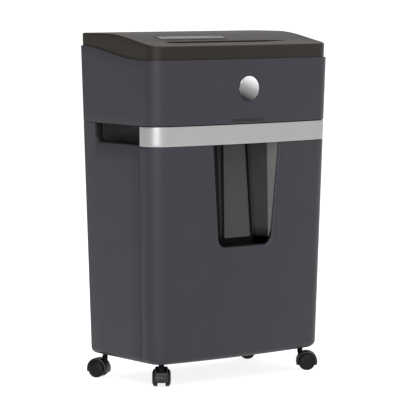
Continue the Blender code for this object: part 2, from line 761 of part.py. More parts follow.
def panel_frame():
    """Centre of the control panel's top face, and the slope it lies on."""
    low, high = -0.042, -0.009
    tilt = math.atan2(cover_top(high) - cover_top(low), high - low)
    y = sum(PANEL_Y) / 2
    z = cover_top(low) + (y - low) * math.tan(tilt)
    return (sum(PANEL_X) / 2, y, z), tilt


def panel_half_sizes():
    _origin, tilt = panel_frame()
    return (PANEL_X[1] - PANEL_X[0]) / 2, (PANEL_Y[1] - PANEL_Y[0]) / 2 / math.cos(tilt)


def build_control_panel():
    origin, tilt = panel_frame()
    half_x, half_y = panel_half_sizes()
    bm = box(bmesh.new(), (-half_x, -half_y, -PANEL_THICK), (half_x, half_y, 0))
    panel = add_object("control_panel", bm, "gloss_panel", origin, (tilt, 0, 0))
    holes = bmesh.new()
    for x in BUTTON_X:
        rod(holes, -0.01, 0.01, BUTTON_RADIUS + 0.0004, 16, "Z", (x - origin[0], 0, 0))
    lens_low, lens_high = (x - origin[0] for x in LENS_X)
    box(holes, (lens_low - GAP, -LENS_HALF_Y - GAP, -0.01), (lens_high + GAP, LENS_HALF_Y + GAP, 0.01))
    boolean(panel, "DIFFERENCE", cutter(holes, origin, (tilt, 0, 0)))

    lens = box(bmesh.new(), (lens_low, -LENS_HALF_Y, -PANEL_THICK), (lens_high, LENS_HALF_Y, 0.0002))
    add_object("indicator_lens", lens, "lens", origin, (tilt, 0, 0))

    slope = Matrix.Rotation(tilt, 4, "X")
    for x, name in zip(BUTTON_X, ("reverse_button", "power_button", "forward_button")):
        place = Vector(origin) + slope @ Vector((x - origin[0], 0, 0))
        top, bottom = 0.0009, -BUTTON_TRAVEL_ROOM
        profile = [(bottom, 0), (bottom, BUTTON_RADIUS), (top - 0.0004, BUTTON_RADIUS),
                   (top, BUTTON_RADIUS - 0.0008), (top, 0)]
        add_object(name, turned(bmesh.new(), profile, 16, "Z"), "gloss_panel", place, (tilt, 0, 0))


def build_feed_throat():
    def ring(z, half_x, half_y):
        return at([(-half_x, SLOT_Y - half_y), (half_x, SLOT_Y - half_y), (half_x, SLOT_Y + half_y),
                   (-half_x, SLOT_Y + half_y)], z)

    outside = [(THROAT_BOTTOM, PAPER_HALF_X + THROAT_WALL, PAPER_HALF_Y + THROAT_WALL),
               (THROAT_WAIST, PAPER_HALF_X + THROAT_WALL, PAPER_HALF_Y + THROAT_WALL),
               (THROAT_TOP, SLOT_HALF_X - GAP, SLOT_HALF_Y - GAP)]
    inside = [(z, x - THROAT_WALL, y - THROAT_WALL) for z, x, y in reversed(outside)]
    body = loft(bmesh.new(), [ring(*r) for r in outside + inside], closed=True)
    throat = add_object("feed_throat", body, "black_plastic")
    window_half_x = 0.003
    bm = box(bmesh.new(), (-window_half_x, SLOT_Y + 0.001, 0.528), (window_half_x, SLOT_Y + 0.012, 0.554))
    boolean(throat, "DIFFERENCE", cutter(bm))


def build_paper_sensor():
    x, _y, z = SENSOR_PIVOT
    bm = bmesh.new()
    outline = [(-0.0145, -0.0010), (-0.0030, -0.0026), (0.0, -0.0034), (0.0030, -0.0020), (0.0070, -0.0010),
               (0.0070, 0.0010), (0.0030, 0.0020), (0.0, 0.0034), (-0.0030, 0.0026), (-0.0145, 0.0010)]
    loft(bm, [[(side, u, v) for u, v in outline] for side in (-0.0015, 0.0015)])
    lever = add_object("paper_sensor_lever", bm, "nylon", SENSOR_PIVOT)
    boolean(lever, "UNION", cutter(rod(bmesh.new(), -0.0045, 0.0045, LEVER_PIN_RADIUS, 12), SENSOR_PIVOT))

    housing = bmesh.new()
    box(housing, (x - 0.0050, -0.0525, z - 0.0070), (x + 0.0050, -0.0365, z + 0.0060))
    frame = add_object("paper_sensor_housing", housing, "black_plastic")
    hollow = box(bmesh.new(), (x - 0.0022, -0.0600, z - 0.0100), (x + 0.0022, -0.0380, z + 0.0200))
    boolean(frame, "DIFFERENCE", cutter(hollow))
    bore = rod(bmesh.new(), -0.0100, 0.0100, clear_bore(LEVER_PIN_RADIUS, 12, 0.00015), 12, "X", SENSOR_PIVOT)
    boolean(frame, "DIFFERENCE", cutter(bore))


def build_interlock():
    x, y = INTERLOCK_PLACE
    bm = box(bmesh.new(), (x - 0.008, y - 0.005, TRAY_TOP + GAP), (x + 0.008, y + 0.005, INTERLOCK_TOP))
    switch = add_object("interlock_switch", bm, "black_plastic")
    boolean(switch, "DIFFERENCE", cutter(rod(bmesh.new(), 0.44, 0.464, 0.0031, 12, "Z", (x, y, 0))))
    plunger = rod(bmesh.new(), 0.0, PLUNGER_LENGTH, PLUNGER_RADIUS, 12, "Z")
    add_object("interlock_plunger", plunger, "nylon", (x, y, PLUNGER_BOTTOM))


# Mechanism inside the head

def gear_outline(teeth, module, first_tooth):
    """Points of a spur gear with straight-flanked teeth, in its own plane."""
    pitch_radius = teeth * module / 2
    base_radius = pitch_radius * math.cos(math.radians(20))
    tip = pitch_radius + 0.85 * module
    root = pitch_radius - 1.15 * module

    def involute(angle):
        return math.tan(angle) - angle

    def half_angle(radius):
        pressure = math.acos(min(1.0, base_radius / max(radius, base_radius)))
        slack = 0.06 * module / pitch_radius
        return math.pi / (2 * teeth) - slack + involute(math.radians(20)) - involute(pressure)

    points = []
    for k in range(teeth):
        middle = first_tooth + 2 * math.pi * k / teeth
        for radius, side in ((root, -1), (tip, -1), (tip, 1), (root, 1)):
            angle = middle + side * half_angle(radius)
            points.append((radius * math.cos(angle), radius * math.sin(angle)))
    return points


def gear_body(bm, teeth, module, first_tooth, x0, x1):
    outline = gear_outline(teeth, module, first_tooth)
    return loft(bm, [[(x, y, z) for y, z in outline] for x in (x0, x1)])


def add_gear(name, material, origin, teeth, module, first_tooth, x0, x1, bore):
    gear = add_object(name, gear_body(bmesh.new(), teeth, module, first_tooth, x0, x1), material, origin)
    bore_segments = 16
    hole = rod(bmesh.new(), x0 - 0.01, x1 + 0.01, clear_bore(bore, bore_segments), bore_segments)
    boolean(gear, "DIFFERENCE", cutter(hole, origin))
    return gear


def side_block(low, high, grow):
    """A round-ended block across both cutter shafts, or the hole for it."""
    outline = []
    for y, start in ((REAR_SHAFT_Y, -90), (FRONT_SHAFT_Y, 90)):
        for k in range(9):
            angle = math.radians(start + 180 * k / 8)
            radius = BEARING_RADIUS + grow
            outline.append((y + radius * math.cos(angle), SHAFT_Z + radius * math.sin(angle)))
    return loft(bmesh.new(), [[(x, y, z) for y, z in outline] for x in (low, high)])


def cutter_shaft(name, y, discs, left_end, right_end):
    ends = PLATE_INNER_X - 0.0008
    profile = [(left_end, 0), (left_end, SHAFT_RADIUS), (-ends, SHAFT_RADIUS), (-ends, SPACER_RADIUS)]
    first = -(discs - 1) / 2 * DISC_PITCH
    for k in range(discs):
        middle = first + k * DISC_PITCH
        for side in (-1, 1):
            edge = middle + side * DISC_THICK / 2
            radii = (SPACER_RADIUS, DISC_RADIUS)[::-side]
            profile += [(edge, radii[0]), (edge, radii[1])]
    profile += [(ends, SPACER_RADIUS), (ends, SHAFT_RADIUS), (right_end, SHAFT_RADIUS), (right_end, 0)]
    add_object(name, turned(bmesh.new(), profile, 14), "steel", (0, y, SHAFT_Z))


def build_cutters():
    cutter_shaft("front_cutter_shaft", FRONT_SHAFT_Y, FRONT_DISCS, SHAFT_LEFT_END, FRONT_SHAFT_RIGHT_END)
    cutter_shaft("rear_cutter_shaft", REAR_SHAFT_Y, REAR_DISCS, SHAFT_LEFT_END, REAR_SHAFT_RIGHT_END)
    for side, name in ((-1, "left_bearing_block"), (1, "right_bearing_block")):
        low, high = sorted((side * (PLATE_INNER_X - 0.0004), side * (PLATE_INNER_X + PLATE_THICK + 0.0018)))
        block = add_object(name, side_block(low, high, 0.0), "bronze")
        bores = bmesh.new()
        bore = clear_bore(SHAFT_RADIUS, 20, 0.0001)
        for y in (FRONT_SHAFT_Y, REAR_SHAFT_Y):
            rod(bores, low - 0.01, high + 0.01, bore, 20, "X", (0, y, SHAFT_Z))
        boolean(block, "DIFFERENCE", cutter(bores))


def build_gears():
    half_pitch = math.pi / TIMING_TEETH
    front, rear = (0, FRONT_SHAFT_Y, SHAFT_Z), (0, REAR_SHAFT_Y, SHAFT_Z)
    add_gear("rear_timing_gear", "steel", rear, TIMING_TEETH, TIMING_MODULE, math.pi,
             *TIMING_GEAR_X, SHAFT_RADIUS)
    add_gear("front_timing_gear", "steel", front, TIMING_TEETH, TIMING_MODULE, half_pitch,
             *TIMING_GEAR_X, SHAFT_RADIUS)
    add_gear("drive_gear", "steel", rear, DRIVE_TEETH, DRIVE_MODULE, IDLER_ANGLE,
             *DRIVE_GEAR_X, SHAFT_RADIUS)

    idler = (0, IDLER_Y, IDLER_Z)
    pinion_tooth = IDLER_ANGLE + math.pi + math.pi / IDLER_PINION_TEETH
    wheel = add_gear("reduction_gear", "nylon", idler, IDLER_WHEEL_TEETH, MOTOR_MODULE, 0.0,
                     *IDLER_WHEEL_X, STUD_RADIUS)
    pinion = gear_body(bmesh.new(), IDLER_PINION_TEETH, DRIVE_MODULE, pinion_tooth, *IDLER_PINION_X)
    pinion_cutter = cutter(pinion, idler)
    hole = rod(bmesh.new(), 0.11, 0.16, clear_bore(STUD_RADIUS, 16), 16)
    boolean(pinion_cutter, "DIFFERENCE", cutter(hole, idler))
    boolean(wheel, "UNION", pinion_cutter)

    motor_tooth = math.pi + math.pi / MOTOR_TEETH
    teeth = gear_body(bmesh.new(), MOTOR_TEETH, MOTOR_MODULE, motor_tooth, *IDLER_WHEEL_X)
    place = (0, MOTOR_Y, IDLER_Z)
    motor = add_object("motor_shaft_pinion", teeth, "steel", place)
    boolean(motor, "UNION", cutter(rod(bmesh.new(), *MOTOR_SHAFT_X, MOTOR_SHAFT_RADIUS, 12), place))


def build_mechanism_plates():
    for side, name in ((-1, "left_mechanism_plate"), (1, "right_mechanism_plate")):
        low, high = sorted((side * PLATE_INNER_X, side * (PLATE_INNER_X + PLATE_THICK)))
        bm = box(bmesh.new(), (low, PLATE_Y[0], PLATE_Z[0]), (high, PLATE_Y[1], PLATE_Z[1]))
        plate = add_object(name, bm, "zinc")
        holes = side_block(low - 0.01, high + 0.01, GAP)
        if side > 0:
            rod(holes, low - 0.01, high + 0.01, 0.006, 16, "X", (0, MOTOR_Y, IDLER_Z))
            rod(holes, low - 0.01, high + 0.01, clear_bore(STUD_RADIUS, 12), 12, "X", (0, IDLER_Y, IDLER_Z))
        boolean(plate, "DIFFERENCE", cutter(holes))

    end = PLATE_INNER_X - GAP
    for name, y in TIE_RODS.items():
        add_object(name, rod(bmesh.new(), -end, end, TIE_ROD_RADIUS, 10, "X", (0, y, TIE_ROD_Z)), "steel")


def comb_outline(back, front, tip, discs):
    """Plan of a stripper comb: a bar with a finger in each gap between discs."""
    finger = FINGER_HALF_WIDTH
    first = -discs / 2 * DISC_PITCH
    points = [(-COMB_HALF_LENGTH, back), (COMB_HALF_LENGTH, back), (COMB_HALF_LENGTH, front)]
    for k in reversed(range(discs + 1)):
        x = first + k * DISC_PITCH
        if abs(x) + finger < COMB_HALF_LENGTH:
            points += [(x + finger, front), (x + finger, tip), (x - finger, tip), (x - finger, front)]
    return points + [(-COMB_HALF_LENGTH, front)]


def build_stripper_combs():
    combs = (("front_stripper_comb", -0.0965, -0.0925, -0.0832, FRONT_DISCS),
             ("rear_stripper_comb", -0.0215, -0.0255, -0.0348, REAR_DISCS))
    for name, back, front, tip, discs in combs:
        outline = comb_outline(back, front, tip, discs)
        add_object(name, loft(bmesh.new(), [at(outline, z) for z in COMB_Z]), "black_plastic")


def build_motor():
    end = PLATE_INNER_X - 0.0022
    profile = [(end - MOTOR_LENGTH, 0), (end - MOTOR_LENGTH, 0.010), (end - MOTOR_LENGTH + 0.006, 0.010),
               (end - MOTOR_LENGTH + 0.006, 0.024), (end - MOTOR_LENGTH + 0.010, MOTOR_RADIUS),
               (end - 0.004, MOTOR_RADIUS), (end, 0.024), (end, 0)]
    add_object("motor", turned(bmesh.new(), profile, 20, "X", (0, MOTOR_Y, IDLER_Z)), "zinc")

    stud = rod(bmesh.new(), PLATE_INNER_X, STUD_END, STUD_RADIUS, 12, "X", (0, IDLER_Y, IDLER_Z))
    add_object("gear_stud", stud, "steel")

    low_x = PLATE_INNER_X + PLATE_THICK + GAP
    bm = box(bmesh.new(), (low_x, GEARBOX_Y[0], GEARBOX_Z[0]), (GEARBOX_X, GEARBOX_Y[1], GEARBOX_Z[1]))
    shell = add_object("gearbox_cover", bm, "black_plastic")
    wall = GEARBOX_WALL
    hollow = box(bmesh.new(), (0.10, GEARBOX_Y[0] + wall, GEARBOX_Z[0] + wall),
                 (GEARBOX_X - wall, GEARBOX_Y[1] - wall, GEARBOX_Z[1] - wall))
    boolean(shell, "DIFFERENCE", cutter(hollow))


def build_electronics():
    bottom = TRAY_TOP + GAP
    top = bottom + BOARD_THICK
    plate = box(bmesh.new(), (BOARD_X[0], BOARD_Y[0], bottom), (BOARD_X[1], BOARD_Y[1], top))
    board = add_object("circuit_board", plate, "board")
    solder = top - 0.0005
    bm = bmesh.new()
    for (x0, x1), (y0, y1), height in BOARD_BOXES:
        box(bm, (x0, y0, solder), (x1, y1, top + height))
    for x, y, radius, height in BOARD_CANS:
        rod(bm, solder, top + height, radius, 16, "Z", (x, y, 0))
    boolean(board, "UNION", cutter(bm))


def build_rear_fittings():
    (x0, x1), (z0, z1) = REAR_CUTS["power"]
    face = rear_y(z0) - 0.0002
    bm = box(bmesh.new(), (x0 + GAP, INLET_FRONT_Y, z0 + GAP), (x1 - GAP, face, z1 - GAP))
    module = add_object("power_inlet", bm, "black_plastic")
    hollows = bmesh.new()
    box(hollows, (x0 + 0.002, 0.090, z0 + 0.0035), (x0 + 0.026, 0.13, z1 - 0.0035))
    rocker_room = ROCKER_HALF_X + ROCKER_CLEAR
    box(hollows, (ROCKER_PIVOT[0] - rocker_room, 0.094, z0 + 0.0015),
        (ROCKER_PIVOT[0] + rocker_room, 0.13, z1 - 0.0015))
    boolean(module, "DIFFERENCE", cutter(hollows))
    pins = bmesh.new()
    for offset_x, offset_z in PIN_PLACES:
        x = x0 + 0.014 + offset_x
        z = (z0 + z1) / 2 + offset_z
        box(pins, (x - 0.001, 0.0890, z - 0.002), (x + 0.001, 0.105, z + 0.002))
    boolean(module, "UNION", cutter(pins))

    cos, sin = math.cos(ROCKER_TILT), math.sin(ROCKER_TILT)
    outline = [(y * cos - z * sin, y * sin + z * cos) for y, z in ROCKER_OUTLINE]
    bm = loft(bmesh.new(), [[(x, y, z) for y, z in outline] for x in (-ROCKER_HALF_X, ROCKER_HALF_X)])
    add_object("mains_rocker", bm, "black_plastic", ROCKER_PIVOT)

    (x0, x1), (z0, z1) = REAR_CUTS["vent"]
    bm = box(bmesh.new(), (x0 + GAP, face - GRILLE_THICK, z0 + GAP), (x1 - GAP, face, z1 - GAP))
    grille = add_object("vent_grille", bm, "black_plastic")
    slots = bmesh.new()
    for k in range(GRILLE_SLOTS):
        low = z0 + 0.004 + k * GRILLE_PITCH
        box(slots, (x0 + 0.005, 0.10, low), (x1 - 0.005, 0.12, low + GRILLE_PITCH / 2))
    boolean(grille, "DIFFERENCE", cutter(slots))


# Castors

def castor_places():
    """(x, y, swivel angle) of each castor: front left, front right, rear left, rear right."""
    return (
        (-FRONT_STEM[0], FRONT_STEM[1], math.radians(52)),
        (FRONT_STEM[0], FRONT_STEM[1], math.radians(-38)),
        (-REAR_STEM[0], REAR_STEM[1], math.radians(119)),
        (REAR_STEM[0], REAR_STEM[1], math.radians(135)),
    )


def arc_points(radius, start, end, steps):
    points = []
    for k in range(steps + 1):
        angle = math.radians(start + (end - start) * k / steps)
        points.append((TRAIL + radius * math.cos(angle), WHEEL_RADIUS + radius * math.sin(angle)))
    return points


def castor_hood_mesh():
    arch = arc_points(HOOD_OUTER, -4, 184, 12) + arc_points(HOOD_INNER, -4, 184, 12)[::-1]
    bm = loft(bmesh.new(), [[(x, y, z) for x, z in arch] for y in (-HOOD_HALF_WIDTH, HOOD_HALF_WIDTH)])
    hood = add_object("hood_pattern", bm, "black_plastic")
    web_outline = arc_points(HOOD_INNER + 0.001, -20, 200, 12)
    half = WHEEL_INNER_Y - 0.0007
    web = loft(bmesh.new(), [[(x, y, z) for x, z in web_outline] for y in (-half, half)])
    boolean(hood, "UNION", cutter(web))
    stubs = rod(bmesh.new(), -STUB_END, STUB_END, STUB_RADIUS, 12, "Y", (TRAIL, 0, WHEEL_RADIUS))
    boolean(hood, "UNION", cutter(stubs))
    boolean(hood, "UNION", cutter(rod(bmesh.new(), *STEM_BLOCK_Z, STEM_BLOCK_RADIUS, 16, "Z")))
    hole = rod(bmesh.new(), STEM_Z[0] - GAP, 0.05, clear_bore(STEM_RADIUS, 16, 0.0002), 16, "Z")
    boolean(hood, "DIFFERENCE", cutter(hole))
    bpy.context.view_layer.update()
    graph = bpy.context.evaluated_depsgraph_get()
    mesh = bpy.data.meshes.new_from_object(hood.evaluated_get(graph))
    bpy.data.objects.remove(hood, do_unlink=True)
    return mesh


def castor_wheel_mesh():
    depth = WHEEL_OUTER_Y - WHEEL_INNER_Y
    bore = clear_bore(STUB_RADIUS, WHEEL_SEGMENTS, 0.0002)
    cap = depth - 0.0020
    profile = [(depth, 0), (depth - 0.0003, 0.006), (depth - 0.0018, 0.0125), (depth - 0.0042, WHEEL_RADIUS),
               (0.0006, WHEEL_RADIUS), (0, WHEEL_RADIUS - 0.0008), (0, bore), (cap, bore), (cap, 0)]
    pattern = add_object("wheel_pattern", turned(bmesh.new(), profile, WHEEL_SEGMENTS, "Y"), "rubber")
    mesh = pattern.data
    bpy.data.objects.remove(pattern, do_unlink=True)
    return mesh


def build_castors():
    hood_mesh = castor_hood_mesh()
    wheel_mesh = castor_wheel_mesh()
    names = ("front_left", "front_right", "rear_left", "rear_right")
    for name, (x, y, angle) in zip(names, castor_places()):
        swivel = bpy.data.objects.new(f"{name}_swivel", None)
        swivel.location = (x, y, 0)
        swivel.rotation_euler = (0, 0, angle)
        bpy.context.scene.collection.objects.link(swivel)
        place_mesh(f"{name}_castor_hood", hood_mesh, (0, 0, 0), parent=swivel)
        stem = rod(bmesh.new(), *STEM_Z, STEM_RADIUS, 14, "Z")
        add_object(f"{name}_castor_stem", stem, "steel", (x, y, 0))
        for letter, side, turn in (("a", 1, 0.0), ("b", -1, math.pi)):
            axle = (TRAIL, side * WHEEL_INNER_Y, WHEEL_RADIUS)
            place_mesh(f"{name}_wheel_{letter}", wheel_mesh, axle, (0, 0, turn), swivel)


def build():
    clear_scene()
    build_cabinet()
    build_grip_inserts()
    build_bin_front()
    build_handle_band()
    build_window_scoop()
    build_bin_bucket()
    build_head_housing()
    build_badge()
    build_light_bar()
    build_base_tray()
    build_top_cover()
    build_control_panel()
    build_feed_throat()
    build_paper_sensor()
    build_interlock()
    build_cutters()
    build_gears()
    build_mechanism_plates()
    build_stripper_combs()
    build_motor()
    build_electronics()
    build_rear_fittings()
    build_castors()


build()
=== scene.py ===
"""Looks of a paper shredder on castors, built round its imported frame.

Metres, +Z up, the front faces -Y, and the origin is on the floor under the middle.
"""

from math import atan, atan2, cos, hypot, pi, radians, sin, tan

import bmesh
import bpy
from mathutils import Matrix, Vector


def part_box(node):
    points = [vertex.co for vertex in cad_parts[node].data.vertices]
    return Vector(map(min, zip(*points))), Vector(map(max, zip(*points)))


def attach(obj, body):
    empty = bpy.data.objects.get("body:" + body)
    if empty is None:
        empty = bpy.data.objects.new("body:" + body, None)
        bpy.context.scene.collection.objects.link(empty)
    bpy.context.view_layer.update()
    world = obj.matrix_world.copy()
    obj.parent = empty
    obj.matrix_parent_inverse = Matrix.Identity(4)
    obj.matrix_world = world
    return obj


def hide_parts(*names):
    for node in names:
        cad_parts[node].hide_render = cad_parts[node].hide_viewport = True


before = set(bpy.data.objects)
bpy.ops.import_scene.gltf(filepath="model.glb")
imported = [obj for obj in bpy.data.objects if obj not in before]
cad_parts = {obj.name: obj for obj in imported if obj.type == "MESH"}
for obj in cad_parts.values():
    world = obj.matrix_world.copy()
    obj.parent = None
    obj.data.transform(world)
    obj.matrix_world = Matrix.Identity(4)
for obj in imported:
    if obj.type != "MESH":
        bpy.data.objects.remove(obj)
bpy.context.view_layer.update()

# The tapered, bow-fronted plan that the shells share; a taper is per metre below HEAD_FRONT_TOP
HEAD_HALF_WIDTH = 0.195
HEAD_HALF_DEPTH = 0.112
HEAD_FRONT_TOP = 0.555
SIDE_TAPER = 0.0226
FRONT_TAPER = 0.0243
REAR_TAPER = 0.0209
FRONT_BOW = 0.0087
BOW_REACH = 0.0033
FRONT_CORNER = 0.031
REAR_CORNER = 0.005
SEAM_BOTTOM_Y = -0.049
SEAM_LEAN = -0.006
SEAM_HALF_GAP = 0.0004
SEAM_EASE = 0.0008
REAR_CORNER_LEAST = 0.0008
SIDE_STEPS = 24
REAR_STEPS = 12
FRONT_STEPS = 26
CORNER_STEPS = 16
SIDE_COLUMNS = FRONT_STEPS // 2 - 2 + CORNER_STEPS + 5

# Heights and walls
CABINET_BOTTOM = 0.041
BOTTOM_FILLET = 0.012
BAND_BOTTOM = 0.4107
BAND_TOP = 0.4442
CABINET_TOP = 0.4445
CABINET_RIM = 0.4451
HEAD_BOTTOM = 0.4455
SKIRT_BOTTOM = 0.549
WALL = 0.003
HEAD_WALL = 0.0032
HEAD_ROUND = 0.0009
# S-shaped rises of the head's top edge and of the cover: start, length, low height, rise and ease
HEAD_SLOPE = (-0.087, 0.1985, 0.5548, 0.0222, 1.25)
COVER_SLOPE = (-0.106, 0.15, 0.5793, 0.0194, 0.9)
COVER_INSET = 0.0035
COVER_ROUND = 0.0032
COVER_WALL = 0.003
BAND_DEPTH = 0.012
BAND_ROUND = 0.0011
# The cover's rings close in on a line along its middle
COVER_RINGS = 60
SPINE_HALF_X = 0.125
SPINE_Y = -0.0255

# Runners under the bin, and the castors' sockets
RUNNER_X = 0.13
SOCKET_Z = (0.03, 0.0485)
SOCKET_RADIUS = 0.0044

# Hand grips
GRIP_FRONT_Y = -0.0542
GRIP_LOW = 0.4115
GRIP_REAR_Y = 0.072
GRIP_DEPTH = 0.028
GRIP_CORNER = 0.014
GRIP_WALL = 0.0015
GRIP_CLEAR = 0.0003
GRIP_TOP = 0.46
OUTSIDE_X = 0.25
# How the hollow narrows towards its back: (distance from the back, in from the rear end, up from the floor)
GRIP_BACK = ((0.0, 0.026, 0.002), (0.0006, 0.0244, 0.0008), (0.002, 0.0208, 0.0), (0.0094, 0.0016, 0.0),
             (0.0102, 0.0004, 0.0), (0.0112, 0.0, 0.0))

# Window in the bin's front, and the finger scoop behind it
WINDOW_BOTTOM = 0.234
WINDOW_ARC_TOP = 0.254
WINDOW_CORNER = 0.02
WINDOW_HALF_LOW = 0.0616
WINDOW_HALF_TOP = 0.0745
WINDOW_COLUMNS = 12
FRAME_HALF_X = 0.092
FRAME_FOOT = 0.205
FRAME_RINGS = 7
ROLL_RADIUS = 0.0065
ROLL_SPREAD = 0.0032
ROLL_STEPS = 9
SCOOP_TOP = 0.4405
SCOOP_FOOT = 0.2475
SCOOP_CLEAR = 0.0003
GROOVE = 0.0045
SCOOP_NECK = 0.0132
KNEE_LOW = 0.262
KNEE_HIGH = 0.39
KNEE_ROUND = 0.0012
# The knee in the scoop's lip and the corner of its pane, low down: (x, depth), and the change on the way up
KNEE = (0.0525, 0.0066)
KNEE_CHANGE = (0.002, 0.0088)
PANE = (0.0335, 0.0245)
PANE_CHANGE = (-0.0065, 0.017)

# Bucket behind the bin's front, and its gaps to the shells
BUCKET_SIDE_GAP = 0.0065
BUCKET_FRONT_GAP = 0.0165
BUCKET_REAR_GAP = 0.006

# Feed slot and control panel
SLOT_Y = -0.059
SLOT_LEFT_X = -0.128
SLOT_RIGHT_X = 0.083
SLOT_HALF_Y = 0.0085
PANEL_X = (-0.132, 0.012)
PANEL_Y = (-0.04, -0.011)
PANEL_ROUND = 0.008
PANEL_SLOPE_Y = (-0.042, -0.009)
INLAY_HALF_X = 0.07
INLAY_HALF_Y = 0.0082
LENS_X = (-0.022, 0.002)
LENS_HALF_Y = 0.002
BUTTON_X = (-0.112, -0.076, -0.04)
ABOVE_ALL = 0.62

# Holes through the head's wall, as (low corner, high corner): mains inlet, vent and light bar
HEAD_HOLES = (
    ((-0.144, 0.1, 0.4685), (-0.099, 0.125, 0.4915)),
    ((-0.03, 0.1, 0.49), (0.09, 0.125, 0.526)),
    ((-0.034, -0.125, 0.4495), (0.034, -0.1, 0.4533)),
)

# Badge
BADGE_Z = 0.505
BADGE_RADIUS = 0.0215
BADGE_ROUND = 0.0011
BADGE_EDGE = 0.001
BADGE_CROWN = 0.0008
# The way across the badge along which its painted reflection runs from dark to bright
BADGE_REFLECTION_WAY = (9.0, 0.0, 22.0)

# Castors
TRAIL = 0.012
WHEEL_RADIUS = 0.015
WHEEL_WIDTH = 0.0094
WHEEL_SIDE = 0.0066
HOOD_RADIUS = 0.019
HOOD_INNER = 0.0159
HOOD_HALF = 0.011
HOOD_SHOULDER = 0.0026
HOOD_ANGLES = (-18.4, 198.4)
COLLAR_RADIUS = 0.0048
COLLAR_LOW = 0.0262
AXLE_HALF = 0.0137
AXLE_RADIUS = 0.0025
CASTORS = {
    "front_left": (-0.154, -0.065, 52),
    "front_right": (0.154, -0.065, -38),
    "rear_left": (-0.168, 0.0795, 119),
    "rear_right": (0.168, 0.0795, 135),
}

# The surroundings are bright in front and on the right, and dim behind and on the left
BRIGHT_WAY = (0.5, -0.8, 0.35)
DIM_SIDE = 0.25
BRIGHT_SIDE = 1.15
FLOOR_HALF = 200.0
FLOOR_Z = -0.0002

# Lights, all aimed at one place: name, azimuth, elevation, distance, (width, height), power
LIGHT_AIM = (0, 0, 0.32)
LIGHTS = (
    ("low_panel", -54, 2, 4.6, (3.2, 0.9), 54),
    ("high_panel", -48, 46, 3.6, (2.2, 0.9), 60),
    ("overhead", 0, 88, 2.6, (2.5, 2.5), 60),
)

# Camera; its angles are the azimuth and elevation of its view
CAMERA_AT = (-2.4805, -3.159, 0.6751)
CAMERA_ANGLES = (-37.8965, 5.2603)
CAMERA_LENS = 207.61
CAMERA_SHIFT = (0.0015, 0.0011)


# --- Materials

def shader_of(name, colour, roughness, **sockets):
    """A new material and its Principled BSDF, with the sockets that are the same all over."""
    material = bpy.data.materials.new(name)
    material.use_nodes = True
    shader = material.node_tree.nodes["Principled BSDF"]
    shader.inputs["Base Color"].default_value = (*colour, 1.0)
    shader.inputs["Roughness"].default_value = roughness
    for socket, value in sockets.items():
        shader.inputs[socket.replace("_", " ")].default_value = value
    return material, shader


def add_node(tree, kind, operation=None, **values):
    """A new shader node, with the values of its sockets."""
    node = tree.nodes.new("ShaderNode" + kind)
    if operation:
        node.operation = operation
    for socket, value in values.items():
        node.inputs[socket.replace("_", " ")].default_value = value
    return node


def ranged(tree, value, start, end, low, high, curve="LINEAR"):
    """Turns a value that runs from start to end into one that runs from low to high."""
    remap = add_node(tree, "MapRange", From_Min=start, From_Max=end, To_Min=low, To_Max=high)
    remap.interpolation_type = curve
    tree.links.new(value, remap.inputs["Value"])
    return remap.outputs["Result"]


def graded(tree, value, stops):
    """The colour at a 0..1 value, between (place, colour) stops."""
    ramp = add_node(tree, "ValToRGB")
    elements = ramp.color_ramp.elements
    elements[0].position = stops[0][0]
    elements[1].position = stops[-1][0]
    for place, _colour in stops[1:-1]:
        elements.new(place)
    for element, (_place, colour) in zip(elements, stops):
        element.color = (*colour, 1.0)
    tree.links.new(value, ramp.inputs["Fac"])
    return ramp.outputs["Color"]


def object_noise(tree, scale, detail=2.0, stretch=(1, 1, 1)):
    """A 0..1 pattern in the piece's own coordinates; scale is in cells per metre."""
    coords = add_node(tree, "TexCoord")
    mapping = add_node(tree, "Mapping", Scale=stretch)
    texture = add_node(tree, "TexNoise", Scale=scale, Detail=detail)
    tree.links.new(coords.outputs["Object"], mapping.inputs["Vector"])
    tree.links.new(mapping.outputs["Vector"], texture.inputs["Vector"])
    return texture.outputs["Fac"]


def varied(tree, pattern, middle, spread, socket):
    """Drives a socket either side of a value with a pattern."""
    tree.links.new(ranged(tree, pattern, 0.3, 0.7, middle - spread, middle + spread), socket)


def scaled(colour, factor):
    return tuple(c * factor for c in colour)


def finished(name, colour, roughness, grain, depth, mottle, gloss, specular=0.5,
             stretch=(1, 1, 1), cloud=14.0, **sockets):
    """Moulded or machined finish: fine grain in the surface, faint clouds in tone and gloss."""
    material, shader = shader_of(name, colour, roughness, Specular_IOR_Level=specular, **sockets)
    tree = material.node_tree
    clouds = object_noise(tree, cloud, 3.0)
    tones = graded(tree, clouds, ((0.32, scaled(colour, 1 - mottle)), (0.68, scaled(colour, 1 + mottle))))
    tree.links.new(tones, shader.inputs["Base Color"])
    grainy = object_noise(tree, grain, 2.0, stretch)
    varied(tree, grainy, roughness, gloss, shader.inputs["Roughness"])
    if depth:
        bump = add_node(tree, "Bump", Strength=0.6, Distance=depth)
        tree.links.new(grainy, bump.inputs["Height"])
        tree.links.new(bump.outputs["Normal"], shader.inputs["Normal"])
    return material


